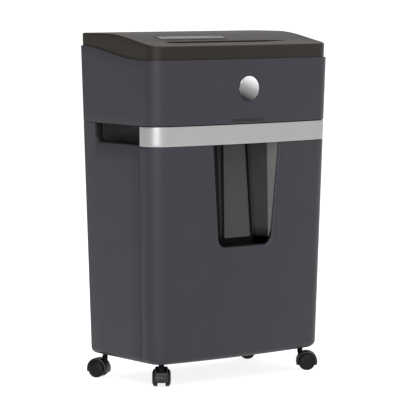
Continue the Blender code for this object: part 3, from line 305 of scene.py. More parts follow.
def metal_with_painted_reflection(name, dark, light, roughness):
    """The badge's metal with a painted reflection: dark at its lower left, bright at its top, with a fine
    grain.
    """
    material, shader = shader_of(name, light, roughness, Metallic=1.0)
    tree = material.node_tree
    coords = add_node(tree, "TexCoord")
    across = add_node(tree, "VectorMath", "DOT_PRODUCT")
    across.inputs[1].default_value = BADGE_REFLECTION_WAY
    centred = add_node(tree, "Math", "SUBTRACT")
    centred.inputs[1].default_value = BADGE_REFLECTION_WAY[2] * BADGE_Z - 0.5
    tree.links.new(coords.outputs["Object"], across.inputs[0])
    tree.links.new(across.outputs["Value"], centred.inputs[0])
    middle = tuple(a + (b - a) * 0.34 for a, b in zip(dark, light))
    tones = graded(tree, centred.outputs["Value"], ((0.07, dark), (0.52, middle), (0.95, light)))
    tree.links.new(tones, shader.inputs["Base Color"])
    varied(tree, object_noise(tree, 900.0, 2.0, (1, 1, 4)), roughness, 0.03, shader.inputs["Roughness"])
    return material


def painted_shade_foot(material, low, high):
    """Paints shade: fades a material's colour to near black from one height down to another."""
    tree = material.node_tree
    socket = tree.nodes["Principled BSDF"].inputs["Base Color"]
    colour = socket.links[0].from_socket
    split = add_node(tree, "SeparateXYZ")
    blend = add_node(tree, "VectorMath", "SCALE")
    tree.links.new(add_node(tree, "TexCoord").outputs["Object"], split.inputs["Vector"])
    fade = ranged(tree, split.outputs["Z"], low, high, 0.03, 1.0, "SMOOTHSTEP")
    tree.links.new(colour, blend.inputs[0])
    tree.links.new(fade, blend.inputs["Scale"])
    tree.links.new(blend.outputs["Vector"], socket)


def smoked(name, colour, roughness, specular):
    """The bin's smoked plastic, with a faint upright grain."""
    return finished(name, colour, roughness, 60.0, 0.00003, 0.06, 0.03, specular, (1, 1, 0.05))


BODY = finished("body_moulding", (0.018, 0.0168, 0.023), 0.47, 700.0, 0.00005, 0.05, 0.06, 0.28)
COVER = finished("cover_moulding", (0.011, 0.008, 0.0058), 0.42, 700.0, 0.00004, 0.05, 0.05, 0.2)
BLACK = finished("black_moulding", (0.0056, 0.0056, 0.0057), 0.46, 600.0, 0.00005, 0.08, 0.06, 0.2)
# Near black that paints shade: in the scoop's groove and left lip, on its sill and on the castors' collars
PAINTED_SHADE_BLACK = finished("painted_shade_black", (0.0022, 0.0022, 0.0023), 0.64, 600.0, 0.00004, 0.08, 0.05, 0.06)
HOOD = finished("castor_moulding", (0.0016, 0.0016, 0.0017), 0.36, 900.0, 0.000003, 0.08, 0.04, 0.4)
BLACK_STEEL = finished("castor_stem_steel", (0.006, 0.006, 0.0062), 0.5, 900.0, 0.00001, 0.1, 0.06, 0.2)
TYRE = finished("castor_tread", (0.003, 0.003, 0.0031), 0.42, 500.0, 0.00005, 0.12, 0.07, 0.16)
SILVER = finished("silver_paint", (0.325, 0.325, 0.325), 0.38, 1600.0, 0.000012, 0.02, 0.03, Metallic=0.85)
SMOKE = smoked("smoked_window", (0.03, 0.03, 0.03), 0.26, 0.25)
# Darker copy of the smoked plastic: painted shade on the scoop's walls, faded to near black at their foot as
# further painted shade
SMOKE_PAINTED_SHADE = smoked("smoked_window_painted_shade", (0.02, 0.02, 0.02), 0.34, 0.04)
painted_shade_foot(SMOKE_PAINTED_SHADE, 0.244, 0.272)
# Lighter copy of the smoked plastic: a painted highlight on the scoop's right lip
SMOKE_PAINTED_HIGHLIGHT = smoked("smoked_window_painted_highlight", (0.058, 0.058, 0.057), 0.3, 0.4)
PANEL = finished("gloss_panel_finish", (0.125, 0.122, 0.12), 0.16, 900.0, 0.000006, 0.03, 0.03, Metallic=0.7)
# Badge metal with a painted reflection: its colour goes from dark at the lower left to bright at the top
CHROME_PAINTED_REFLECTION = metal_with_painted_reflection("badge_metal_painted_reflection", (0.03, 0.03, 0.031), (0.88, 0.88, 0.89), 0.24)
STEEL = finished("cutter_steel", (0.42, 0.42, 0.43), 0.34, 500.0, 0.00003, 0.08, 0.08,
                 stretch=(0.15, 1, 1), Metallic=1.0)
BRONZE = finished("sintered_bronze", (0.42, 0.28, 0.15), 0.48, 900.0, 0.00004, 0.12, 0.08, Metallic=1.0)
ZINC = finished("zinc_plate", (0.52, 0.53, 0.54), 0.4, 160.0, 0.00002, 0.1, 0.1, cloud=60.0, Metallic=1.0)
NYLON = finished("natural_nylon", (0.62, 0.6, 0.55), 0.45, 500.0, 0.00003, 0.04, 0.05)
LENS = finished("indicator_tint", (0.05, 0.058, 0.062), 0.16, 300.0, 0.00001, 0.1, 0.04)
BOARD = finished("solder_mask", (0.018, 0.11, 0.045), 0.42, 260.0, 0.00003, 0.18, 0.08, cloud=110.0)
LIGHT_BAR = finished("light_bar_tint", (0.0135, 0.0135, 0.012), 0.3, 300.0, 0.00001, 0.05, 0.04, 0.2)


# --- Shape helpers

def smoothstep(low, high, value):
    t = min(max((value - low) / (high - low), 0.0), 1.0)
    return t * t * (3 - 2 * t)


def half_width(z):
    return HEAD_HALF_WIDTH - SIDE_TAPER * (HEAD_FRONT_TOP - z)


def rear_y(z):
    return HEAD_HALF_DEPTH - REAR_TAPER * (HEAD_FRONT_TOP - z)


def front_centre_y(z):
    return -HEAD_HALF_DEPTH + FRONT_TAPER * (HEAD_FRONT_TOP - z)


def front_y(x, z):
    reach = half_width(z) - FRONT_CORNER
    return front_centre_y(z) + FRONT_BOW * (x / (reach + BOW_REACH)) ** 2


def seam_y(z):
    return SEAM_BOTTOM_Y + (z - CABINET_BOTTOM) / (BAND_BOTTOM - CABINET_BOTTOM) * SEAM_LEAN


def right_front(z, inset):
    """The front's right half, from the middle to the end of the corner's round."""
    corner = FRONT_CORNER - inset
    edge = half_width(z) - FRONT_CORNER
    slope = atan(2 * FRONT_BOW / edge)
    centre_y = front_centre_y(z) + FRONT_BOW + FRONT_CORNER * cos(slope)
    reach = edge + FRONT_CORNER * sin(slope)
    points = []
    for k in range(FRONT_STEPS):
        x = reach * k / FRONT_STEPS
        points.append((x * (1 - inset / FRONT_CORNER * sin(slope) * 0.2),
                       front_centre_y(z) + inset + FRONT_BOW * (x / reach) ** 2))
    for k in range(CORNER_STEPS + 1):
        angle = slope + (pi / 2 - slope) * k / CORNER_STEPS
        points.append((edge + corner * sin(angle), centre_y - corner * cos(angle)))
    return points


def quarter(x, y, radius, start, steps):
    """A quarter round about a centre, anticlockwise from an angle in degrees."""
    angles = [radians(start + 90 * k / steps) for k in range(steps + 1)]
    return [(x + radius * cos(angle), y + radius * sin(angle)) for angle in angles]


def mirrored(points):
    return [(-x, y) for x, y in points[:0:-1]] + points


def front_path(z, inset):
    """From the left side seam round the front to the right side seam."""
    side = half_width(z) - inset
    right = right_front(z, inset)
    start = right[-1][1]
    end = seam_y(z) - SEAM_HALF_GAP
    right += [(side, start + (end - start) * share) for share in (0.35, 0.7, 0.96, 1.0)]
    return mirrored(right)


def full_path(z, inset):
    """The whole plan as one closed ring, anticlockwise from the left rear."""
    side = half_width(z) - inset
    right = right_front(z, inset)
    radius = max(REAR_CORNER - inset, REAR_CORNER_LEAST)
    rear = rear_y(z) - inset
    start = right[-1][1]
    right += [(side, start + (rear - radius - start) * k / SIDE_STEPS) for k in range(1, SIDE_STEPS + 1)]
    right += quarter(side - radius, rear - radius, radius, 0, 6)[1:]
    edge = right[-1][0]
    right += [(edge * (1 - k / REAR_STEPS), rear) for k in range(1, REAR_STEPS)]
    return mirrored(right) + [(0.0, rear)]


def rear_path(z, inset):
    """The plan behind the side seam, closed straight across the seam."""
    side = half_width(z) - inset
    radius = max(REAR_CORNER - inset, REAR_CORNER_LEAST)
    rear = rear_y(z) - inset
    front = seam_y(z) + SEAM_HALF_GAP
    ease = SEAM_EASE
    right = [(side - ease, front), (side - ease * 0.3, front + ease * 0.3), (side, front + ease)]
    right += [(side, front + (rear - radius - front) * share) for share in (0.2, 0.4, 0.6, 0.8, 1.0)]
    right += quarter(side - radius, rear - radius, radius, 0, 6)[1:]
    return [(-x, y) for x, y in right[::-1]] + right


def at(path, z):
    return [(x, y, z) for x, y in path]


def on_plan(inset, heights):
    """The whole plan at an inset, with each point at its own height."""
    return [(*full_path(z, inset)[k], z) for k, z in enumerate(heights)]


def risen(y, slope):
    """The height of an S-shaped rise towards the back."""
    start, length, low, rise, ease = slope
    share = min(max((y - start) / length, 0.0), 1.0)
    return low + rise * (1 - cos(pi * share ** ease)) / 2


def head_top(y):
    return risen(y, HEAD_SLOPE)


def cover_top(y):
    return risen(y, COVER_SLOPE)


def skin(bm, rings, wrap_ring=True, wrap_path=False, caps=False):
    """Quads between equal rows of points."""
    rows = [[bm.verts.new(p) for p in ring] for ring in rings]
    pairs = list(zip(rows, rows[1:]))
    if wrap_path:
        pairs.append((rows[-1], rows[0]))
    count = len(rows[0])
    for low, high in pairs:
        for k in range(count if wrap_ring else count - 1):
            n = (k + 1) % count
            bm.faces.new([low[k], low[n], high[n], high[k]])
    if caps:
        bm.faces.new(rows[0][::-1])
        bm.faces.new(rows[-1])


def turned(profile, segments, axis="Z", centre=(0, 0, 0)):
    """Turns (along, radius) points about Y or Z; a radius of zero is a pole."""
    bm = bmesh.new()
    rows = []
    for along, radius in profile:
        row = []
        for k in range(segments if radius > 0 else 1):
            angle = 2 * pi * k / segments
            u, v = radius * cos(angle), radius * sin(angle)
            local = (u, along, v) if axis == "Y" else (u, v, along)
            row.append(bm.verts.new(Vector(local) + Vector(centre)))
        rows.append(row)
    pairs = list(zip(rows, rows[1:]))
    if len(rows[0]) > 1 or len(rows[-1]) > 1:
        pairs.append((rows[-1], rows[0]))
    for low, high in pairs:
        for k in range(segments):
            n = (k + 1) % segments
            corners = [low[k % len(low)], low[n % len(low)], high[n % len(high)], high[k % len(high)]]
            unique = list(dict.fromkeys(corners))
            if len(unique) > 2:
                bm.faces.new(unique)
    return bm


def solid(rings):
    """A capped solid through equal rings of points."""
    bm = bmesh.new()
    skin(bm, rings, caps=True)
    return bm


def sheet(rows):
    """An open skin through equal rows of points."""
    bm = bmesh.new()
    skin(bm, rows, wrap_ring=False)
    return bm


def block(low, high):
    x0, y0, z0 = low
    x1, y1, z1 = high
    return solid([[(x0, y0, z), (x1, y0, z), (x1, y1, z), (x0, y1, z)] for z in (z0, z1)])


def rod(low, high, radius, segments, axis="Z", centre=(0, 0, 0)):
    """A plain round bar between two places on its axis."""
    return turned([(low, 0), (low, radius), (high, radius), (high, 0)], segments, axis, centre)


def rounded_rectangle(half_x, half_y, radius, steps, centre=(0, 0)):
    points = []
    for side_x, side_y, start in ((1, -1, -90), (1, 1, 0), (-1, 1, 90), (-1, -1, 180)):
        x = centre[0] + side_x * (half_x - radius)
        y = centre[1] + side_y * (half_y - radius)
        points += quarter(x, y, radius, start, steps)
    return points


def plate(half_x, half_y, radius, steps, layers, centre=(0, 0)):
    """A rounded plate through (inset, height) layers."""
    return solid([at(rounded_rectangle(half_x - inset, half_y - inset, radius - inset, steps, centre), z)
                  for inset, z in layers])


def new_object(name, data):
    obj = bpy.data.objects.new(name, data)
    bpy.context.scene.collection.objects.link(obj)
    return obj


def mesh_object(name, bm, material):
    bmesh.ops.remove_doubles(bm, verts=bm.verts, dist=1e-6)
    bmesh.ops.recalc_face_normals(bm, faces=bm.faces)
    mesh = bpy.data.meshes.new(name)
    bm.to_mesh(mesh)
    bm.free()
    mesh.materials.append(material)
    return new_object(name, mesh)


def settle(obj):
    """Makes the modifiers' result the object's own mesh."""
    bpy.context.view_layer.update()
    graph = bpy.context.evaluated_depsgraph_get()
    mesh = bpy.data.meshes.new_from_object(obj.evaluated_get(graph))
    obj.modifiers.clear()
    old = obj.data
    obj.data = mesh
    mesh.name = obj.name
    bpy.data.meshes.remove(old)


def modifier_of(obj, kind, **settings):
    modifier = obj.modifiers.new(kind.lower(), kind)
    for key, value in settings.items():
        setattr(modifier, key, value)


def cut(obj, bm, operation="DIFFERENCE", place=None):
    """Cuts or joins a drawn solid at once."""
    tool = mesh_object("tool", bm, obj.data.materials[0])
    if place is not None:
        tool.matrix_world = place
    modifier_of(obj, "BOOLEAN", operation=operation, solver="EXACT", object=tool)
    settle(obj)
    mesh = tool.data
    bpy.data.objects.remove(tool, do_unlink=True)
    bpy.data.meshes.remove(mesh)


def thickened(obj, thickness, offset=-1.0, even=False):
    """Gives an open sheet a thickness, on its back by default."""
    modifier_of(obj, "SOLIDIFY", thickness=thickness, offset=offset, use_even_offset=even)
    settle(obj)


def edged(obj, width, degrees):
    """Rounds the edges that are sharper than an angle."""
    modifier_of(obj, "BEVEL", width=width, segments=2, limit_method="ANGLE",
                angle_limit=radians(degrees), use_clamp_overlap=True)
    settle(obj)


def shown(obj, body, nodes=(), degrees=32):
    """Smooths the piece, puts it on its body and hides the nodes it stands for."""
    obj.data.shade_smooth()
    obj.data.set_sharp_from_angle(angle=radians(degrees))
    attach(obj, body)
    if nodes:
        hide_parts(*nodes)


def arc(radius, steps):
    """(across, along) points of a quarter round, from the flat to the side."""
    return [(radius * (1 - sin(pi / 2 * k / steps)), radius * (1 - cos(pi / 2 * k / steps)))
            for k in range(steps + 1)]


def outward(obj):
    """Turns an open sheet's faces so that the front ones face -Y."""
    mesh = obj.data
    total = sum((p.normal.y * p.area for p in mesh.polygons if abs(p.normal.y) > 0.9), 0.0)
    if total > 0:
        mesh.flip_normals()


# --- Cabinet

def grip_profile(low, rear, corner, top, front):
    """The grip's (y, z) outline, with a round corner at its lower rear."""
    turn = quarter(rear - corner, low + corner, corner, -90, 10)
    return [(front, low)] + turn + [(rear, top), (front, top)]


def side_prism(stations):
    """A solid across the cabinet from (x, profile) stations."""
    return solid([[(x, y, z) for y, z in profile] for x, profile in stations])


def cabinet_bay():
    """The space for the bin, open at the front, with a ledge round its top."""
    rings = []
    for z, inset in ((0.046, 0.01), (0.052, 0.0055), (0.06, WALL),
                     (0.4365, WALL), (0.4395, 0.012), (0.46, 0.012)):
        side = half_width(z) - inset
        rear = rear_y(z) - inset
        rings.append([(-side, -0.15, z), (side, -0.15, z), (side, rear, z), (-side, rear, z)])
    return solid(rings)


def cabinet_tongue():
    """The part of the floor that reaches forward under the bin."""
    path = right_front(CABINET_BOTTOM, BOTTOM_FILLET + 0.0006)
    path.append((path[-1][0], -0.039))
    return solid([at(mirrored(path), z) for z in (CABINET_BOTTOM, CABINET_BOTTOM + 0.005)])


def build_cabinet():
    rings = [at(rear_path(CABINET_BOTTOM + rise, inset), CABINET_BOTTOM + rise)
             for inset, rise in arc(BOTTOM_FILLET, 10)]
    rings += [at(rear_path(z, 0), z) for z in (0.12, 0.2, 0.3, 0.38, CABINET_RIM - 0.0005)]
    rings.append(at(rear_path(CABINET_RIM, 0.0005), CABINET_RIM))
    cabinet = mesh_object("cabinet_shell", solid(rings), BODY)
    cut(cabinet, cabinet_bay())
    for x in (-RUNNER_X, RUNNER_X):
        runner = block((x - 0.008, -0.046, 0.045), (x + 0.008, 0.094, 0.052))
        cut(cabinet, runner, "UNION")
    cut(cabinet, cabinet_tongue(), "UNION")
    for side in (-1, 1):
        profile = grip_profile(GRIP_LOW, GRIP_REAR_Y, GRIP_CORNER, GRIP_TOP, -0.06)
        inner = side * (half_width(CABINET_TOP) - GRIP_DEPTH)
        cut(cabinet, side_prism([(inner, profile), (side * OUTSIDE_X, profile)]))
    for x, y, _angle in CASTORS.values():
        cut(cabinet, rod(*SOCKET_Z, SOCKET_RADIUS, 24, "Z", (x, y, 0)))
    edged(cabinet, 0.0005, 50)
    shown(cabinet, "root", ["cabinet"])


def grip_outline(inset, top, rear_extra=0.0, floor_extra=0.0):
    """The insert's outline moved inwards."""
    low = GRIP_LOW + GRIP_CLEAR + inset + floor_extra
    rear = GRIP_REAR_Y - GRIP_CLEAR - inset - rear_extra
    return grip_profile(low, rear, GRIP_CORNER - inset, top, GRIP_FRONT_Y + inset)


def build_grips():
    outer = half_width(GRIP_LOW) - 0.0002
    back = half_width(CABINET_TOP) - GRIP_DEPTH + GRIP_CLEAR
    full = grip_outline(0, CABINET_TOP - GRIP_CLEAR)
    wide = grip_outline(0.0004, GRIP_TOP)
    stations = [(back + GRIP_WALL + rise, grip_outline(GRIP_WALL, GRIP_TOP, rear_extra, floor_extra))
                for rise, rear_extra, floor_extra in GRIP_BACK]
    stations += [(outer - 0.0015, grip_outline(GRIP_WALL, GRIP_TOP)),
                 (outer - 0.0005, grip_outline(GRIP_WALL * 0.55, GRIP_TOP)), (outer, wide), (OUTSIDE_X, wide)]
    for side, node in ((-1, "left_grip_insert"), (1, "right_grip_insert")):
        insert = mesh_object(node + "_tub", side_prism([(side * back, full), (side * outer, full)]), BLACK)
        cut(insert, side_prism([(side * x, profile) for x, profile in stations]))
        shown(insert, "root", [node], 40)


# --- Bin

def window_half(z):
    """Half width of the window where the panel's round edge turns inwards."""
    share = (z - WINDOW_ARC_TOP) / (BAND_BOTTOM - WINDOW_ARC_TOP)
    return WINDOW_HALF_LOW + (WINDOW_HALF_TOP - WINDOW_HALF_LOW) * share


def window_outline(top, spread, count_side, count_base):
    """(x, z) and inward (nx, nz) of the window's edge, from the top left round to the top right.
    spread is how far outside the window's nominal edge it runs."""
    corner = WINDOW_CORNER + spread
    low = WINDOW_BOTTOM - spread * 1.9
    arc_top = low + corner
    slope = atan((WINDOW_HALF_TOP - WINDOW_HALF_LOW) / (BAND_BOTTOM - WINDOW_ARC_TOP))
    heights = [top + (arc_top - top) * k / count_side for k in range(count_side)]
    half = [(-(window_half(z) + spread), z, cos(slope), sin(slope)) for z in heights]
    edge = window_half(arc_top) + spread - corner
    for k in range(15):
        angle = pi / 2 * k / 14
        half.append((-(edge + corner * cos(angle)), arc_top - corner * sin(angle), cos(angle), sin(angle)))
    base = [(-edge + 2 * edge * k / count_base, low, 0.0, 1.0) for k in range(1, count_base)]
    return half + base + [(-x, z, -nx, nz) for x, z, nx, nz in half[::-1]]


def corner_columns(z, inset):
    """The front's points from the window's frame round the right corner to the seam."""
    return [(x, y) for x, y in front_path(z, inset) if x > FRAME_HALF_X + 0.003][-SIDE_COLUMNS:]


def bin_front_sheet():
    """The bin's front as one open skin, drawn outwards from a frame round the window."""
    top = BAND_BOTTOM - 0.0003
    foot = CABINET_BOTTOM + BOTTOM_FILLET
    outline = window_outline(top, ROLL_SPREAD, 22, WINDOW_COLUMNS)
    side_count = (len(outline) - 1) // 2 - WINDOW_COLUMNS
    base_count = len(outline) - 2 * side_count
    columns = [-FRAME_HALF_X + 2 * FRAME_HALF_X * k / (base_count - 1) for k in range(base_count)]
    left = [(-FRAME_HALF_X, top + (FRAME_FOOT - top) * k / side_count) for k in range(side_count)]
    border = left + [(x, FRAME_FOOT) for x in columns] + [(-x, z) for x, z in left[::-1]]

    # From the frame to the window, and round the window's rolled edge
    rows = []
    for j in range(FRAME_RINGS + 1):
        share = j / FRAME_RINGS
        share = share * (1.5 - 0.5 * share)
        spots = [(bx + (ox - bx) * share, bz + (oz - bz) * share)
                 for (bx, bz), (ox, oz, _nx, _nz) in zip(border, outline)]
        rows.append([(x, front_y(x, z), z) for x, z in spots])
    for short, depth in arc(ROLL_RADIUS, ROLL_STEPS)[1:]:
        reach = ROLL_RADIUS - short
        rows.append([(x + nx * reach, front_y(x, z) + depth, z + nz * reach) for x, z, nx, nz in outline])
    bm = sheet(rows)
    # Below the frame
    levels = [FRAME_FOOT + (foot - FRAME_FOOT) * k / 10 for k in range(11)]
    skin(bm, [[(x, front_y(x, z), z) for x in columns] for z in levels], wrap_ring=False)
    # Either side of the frame, round the corners to the seams
    heights = sorted({round(z, 7) for _x, z in border} | {round(z, 7) for z in levels}, reverse=True)
    for side in (-1, 1):
        rows = []
        for z in heights:
            row = [(FRAME_HALF_X, front_y(FRAME_HALF_X, z))] + corner_columns(z, 0.0)
            rows.append([(side * x, y, z) for x, y in row])
        skin(bm, rows, wrap_ring=False)
    # The round bottom edge
    rows = []
    for inset, rise in arc(BOTTOM_FILLET, 10)[::-1]:
        z = CABINET_BOTTOM + rise
        right = corner_columns(z, inset)
        shift = front_centre_y(z) - front_centre_y(foot)
        middle = [(x, front_y(x, foot) + shift + inset) for x in columns]
        rows.append(at([(-x, y) for x, y in right[::-1]] + middle + right, z))
    skin(bm, rows, wrap_ring=False)
    return bm


def build_bin_front():
    panel = mesh_object("bin_front_shell", bin_front_sheet(), BODY)
    outward(panel)
    thickened(panel, 0.0026, even=True)
    edged(panel, 0.0005, 60)
    shown(panel, "bin", ["bin_front_panel"], 40)


def build_band():
    tall = BAND_TOP - BAND_BOTTOM - 2 * BAND_ROUND
    profile = [(BAND_DEPTH, BAND_TOP)]
    profile += [(inset, BAND_TOP - drop) for inset, drop in arc(BAND_ROUND, 5)]
    profile += [(0.0, BAND_TOP - BAND_ROUND - tall * k / 8) for k in range(1, 8)]
    profile += [(inset, BAND_BOTTOM + rise) for inset, rise in arc(BAND_ROUND, 5)[::-1]]
    profile.append((BAND_DEPTH, BAND_BOTTOM))
    columns = [at(front_path(z, inset), z) for inset, z in profile]
    band = mesh_object("handle_band_bar", solid(list(zip(*columns))), SILVER)
    edged(band, 0.0008, 60)
    shown(band, "bin", ["handle_band"], 40)


def scoop_sizes(z):
    """At a height, the scoop's knee and the corner between its wall and its pane."""
    share = (z - WINDOW_BOTTOM) / (SCOOP_TOP - WINDOW_BOTTOM)
    lean = min(max((z - KNEE_LOW) / (KNEE_HIGH - KNEE_LOW), 0.0), 1.2)
    knee = [low + change * lean for low, change in zip(KNEE, KNEE_CHANGE)]
    pane = [low + change * share for low, change in zip(PANE, PANE_CHANGE)]
    return knee, pane


def scoop_half(z):
    """Half width of the scoop's open edge, just inside the window's rolled one."""
    return window_half(z) + ROLL_SPREAD - ROLL_RADIUS - SCOOP_CLEAR


def scoop_plan(z, half_start):
    """The scoop's right half at a height: (x, depth) from its open edge to the middle of the pane."""
    knee, (pane_half, pane_depth) = scoop_sizes(z)
    start = (half_start, ROLL_RADIUS + 0.0002)
    points = [[a + (b - a) * (k / 5) for a, b in zip(start, knee)] for k in range(5)]
    wall = Vector((pane_half - knee[0], pane_depth - knee[1]))
    lip = Vector((knee[0] - start[0], knee[1] - start[1]))
    ahead = Vector(knee) - lip.normalized() * min(KNEE_ROUND, lip.length * 0.4)
    after = Vector(knee) + wall.normalized() * KNEE_ROUND
    stop = Vector((pane_half, pane_depth)) - wall.normalized() * GROOVE
    points += [ahead, knee, after]
    points += [after + (stop - after) * (k / 7) for k in range(1, 8)]
    # A rounded groove where the wall meets the pane
    deep = Vector((pane_half, pane_depth)) + Vector((0.0022, 0.003))
    inner = Vector((pane_half - GROOVE, pane_depth))
    for share in (0.2, 0.4, 0.6, 0.8, 1.0):
        down = stop + (deep - stop) * share
        up = deep + (inner - deep) * share
        points.append(down + (up - down) * share)
    points += [((pane_half - GROOVE) * (1 - k / 5), pane_depth) for k in range(1, 6)]
    return points


def scoop_row(z, plan):
    """A row across the scoop at a height, from its left edge to its right one."""
    right = [(x, front_centre_y(z) + depth) for x, depth in plan]
    return at([(-x, y) for x, y in right] + right[-2::-1], z)


def build_scoop():
    rows = []
    for k in range(27):
        z = SCOOP_FOOT + (BAND_BOTTOM - 0.0006 - SCOOP_FOOT) * k / 26
        rows.append(scoop_row(z, scoop_plan(z, scoop_half(z) - max(KNEE_LOW - z, 0.0) * 0.25)))
    # Behind the band, the scoop is no shallower than its neck
    for z in (BAND_BOTTOM + 0.0002, 0.425, SCOOP_TOP):
        plan = scoop_plan(z, scoop_half(BAND_BOTTOM))
        rows.append(scoop_row(z, [(x - max(SCOOP_NECK - depth, 0.0) * 1.15, max(depth, SCOOP_NECK))
                                  for x, depth in plan]))
    bm = sheet(rows)
    # The scoop's faces carry painted light: the walls a darker copy as painted shade, the right lip a lighter
    # copy as a painted highlight, and the groove and left lip near black as painted shade
    pane_slot, painted_shade_wall_slot, painted_highlight_lip_slot, painted_shade_slot = range(4)
    for face in bm.faces:
        middle = face.calc_center_median()
        knee, pane = scoop_sizes(middle.z)
        face.material_index = pane_slot
        if abs(middle.x) > knee[0]:
            face.material_index = painted_highlight_lip_slot if middle.x > 0 else painted_shade_slot
        elif abs(middle.x) > pane[0] + 0.0012:
            face.material_index = painted_shade_wall_slot
        elif abs(middle.x) > pane[0] - 0.004:
            face.material_index = painted_shade_slot
    scoop = mesh_object("window_scoop_shell", bm, SMOKE)
    for material in (SMOKE_PAINTED_SHADE, SMOKE_PAINTED_HIGHLIGHT, PAINTED_SHADE_BLACK):
        scoop.data.materials.append(material)
    outward(scoop)
    thickened(scoop, 0.0016)
    edged(scoop, 0.0003, 60)
    shown(scoop, "bin", ["window_scoop"], 30)


def build_sill():
    """The floor that closes the scoop's foot, near black as painted shade; each row is (depth, rise, narrower
    by).
    """
    rows = []
    for depth, rise, narrow in ((0.0062, 0.0, 0.0), (0.009, -0.0012, 0.001), (0.02, -0.0012, 0.008),
                                (0.03, -0.0008, 0.014), (0.03, 0.02, 0.014)):
        z = WINDOW_BOTTOM + 0.0004 + rise
        half = 0.052 - narrow
        rows.append([(half * share, front_centre_y(z) + depth, z) for share in (-1, -0.5, 0.0, 0.5, 1)])
    sill = mesh_object("window_scoop_sill", sheet(rows), PAINTED_SHADE_BLACK)
    thickened(sill, 0.0012, 1.0)
    shown(sill, "bin", [], 40)


def bucket_ring(z, inset):
    side = half_width(z) - BUCKET_SIDE_GAP - inset
    front = front_centre_y(z) + BUCKET_FRONT_GAP + inset
    rear = rear_y(z) - BUCKET_REAR_GAP - inset
    front_round = max(0.012 - inset, 0.001)
    rear_round = max(0.006 - inset, 0.001)
    points = quarter(side - front_round, front + front_round, front_round, -90, 6)
    points += quarter(side - rear_round, rear - rear_round, rear_round, 0, 6)
    points += quarter(rear_round - side, rear - rear_round, rear_round, 90, 6)
    points += quarter(front_round - side, front + front_round, front_round, 180, 6)
    return at(points, z)


def build_bucket():
    outside = ((0.0524, 0.006), (0.0545, 0.0028), (0.058, 0.0008), (0.064, 0.0),
               (0.2, 0.0), (0.4046, 0.0), (0.405, 0.0004))
    inside = ((0.055, 0.0085), (0.0572, 0.0052), (0.061, 0.0031), (0.066, 0.0025),
              (0.404, 0.0025), (0.4052, 0.0021), (0.43, 0.0021))
    bucket = mesh_object("bin_bucket_shell", solid([bucket_ring(z, inset) for z, inset in outside]), BLACK)
    cut(bucket, solid([bucket_ring(z, inset) for z, inset in inside]))
    # Bosses that carry the front panel, and the gap round the scoop
    for x in (-0.115, 0.115):
        for z in (0.12, 0.37):
            boss = rod(front_y(x, z) + 0.0038, front_centre_y(z) + 0.0178, 0.005, 24, "Y", (x, 0, z))
            cut(bucket, boss, "UNION")
    outline = [(-0.05, 0.228), (0.05, 0.228), (0.066, 0.245),
               (0.078, 0.43), (-0.078, 0.43), (-0.066, 0.245)]
    cut(bucket, solid([[(x, y, z) for x, z in outline] for y in (-0.12, -0.072)]))
    shown(bucket, "bin", ["bin_bucket"], 35)


# --- Head

def head_section():
    """The head's wall in section: (which edge it is measured from, inset, height or share of the height)."""
    section = [("low", HEAD_WALL, 0.0)]
    section += [("low", inset, rise) for inset, rise in arc(HEAD_ROUND, 4)]
    section += [("between", 0.0, k / 7) for k in range(1, 7)]
    section += [("high", inset, -drop) for inset, drop in arc(HEAD_ROUND, 4)[::-1]]
    return section + [("high", HEAD_WALL, 0.0), ("high", HEAD_WALL + 0.00022, -0.0003)]


def head_height(edge, rise, y):
    if edge == "low":
        return HEAD_BOTTOM + rise
    if edge == "high":
        return head_top(y) + rise
    low, high = HEAD_BOTTOM + HEAD_ROUND, head_top(y) - HEAD_ROUND
    return low + (high - low) * rise


def build_head():
    columns = []
    for edge, inset, rise in head_section():
        heights = [head_height(edge, rise, y) for _x, y in full_path(HEAD_FRONT_TOP, inset)]
        columns.append(on_plan(inset, heights))
    bm = bmesh.new()
    skin(bm, columns, wrap_ring=True, wrap_path=True)
    head = mesh_object("head_shell", bm, BODY)
    for low, high in HEAD_HOLES:
        cut(head, block(low, high))
    back = front_centre_y(BADGE_Z) + 0.002
    cut(head, rod(back - 0.02, back, BADGE_RADIUS + 0.0004, 56, "Y", (0, 0, BADGE_Z)))
    shown(head, "root", ["head_housing"], 40)


def build_badge():
    back = front_centre_y(BADGE_Z) + 0.0017
    flat = BADGE_RADIUS - BADGE_ROUND
    profile = [(back, 0), (back, BADGE_RADIUS)]
    top = back - BADGE_EDGE - BADGE_ROUND
    profile += [(top + across, BADGE_RADIUS - along) for across, along in arc(BADGE_ROUND, 5)]
    for k in range(1, 13):
        radius = flat * (1 - k / 12)
        profile.append((top - BADGE_CROWN * (1 - (radius / flat) ** 2), radius))
    badge = mesh_object("round_badge", turned(profile, 64, "Y", (0, 0, BADGE_Z)), CHROME_PAINTED_REFLECTION)
    shown(badge, "root", ["badge"], 40)


def build_light_bar():
    low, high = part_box("light_bar")
    bar = mesh_object("light_bar_lens", block(low, high), LIGHT_BAR)
    edged(bar, 0.0003, 40)
    shown(bar, "root", ["light_bar"])


def cover_height(x, y, edge):
    """The cover's top: an S-shaped rise, a shallow dish inside the rim, and a hollow round the slot."""
    z = cover_top(y)
    z -= 0.0009 * smoothstep(0.004, 0.016, edge) * smoothstep(-0.075, -0.045, y)
    across = max(SLOT_LEFT_X - x, x - SLOT_RIGHT_X, 0.0) * 0.28
    along = max(abs(y - SLOT_Y) - SLOT_HALF_Y, 0.0)
    hollow = 1 - smoothstep(0.0, 0.0085, hypot(across, along))
    return z - 0.0005 * hollow


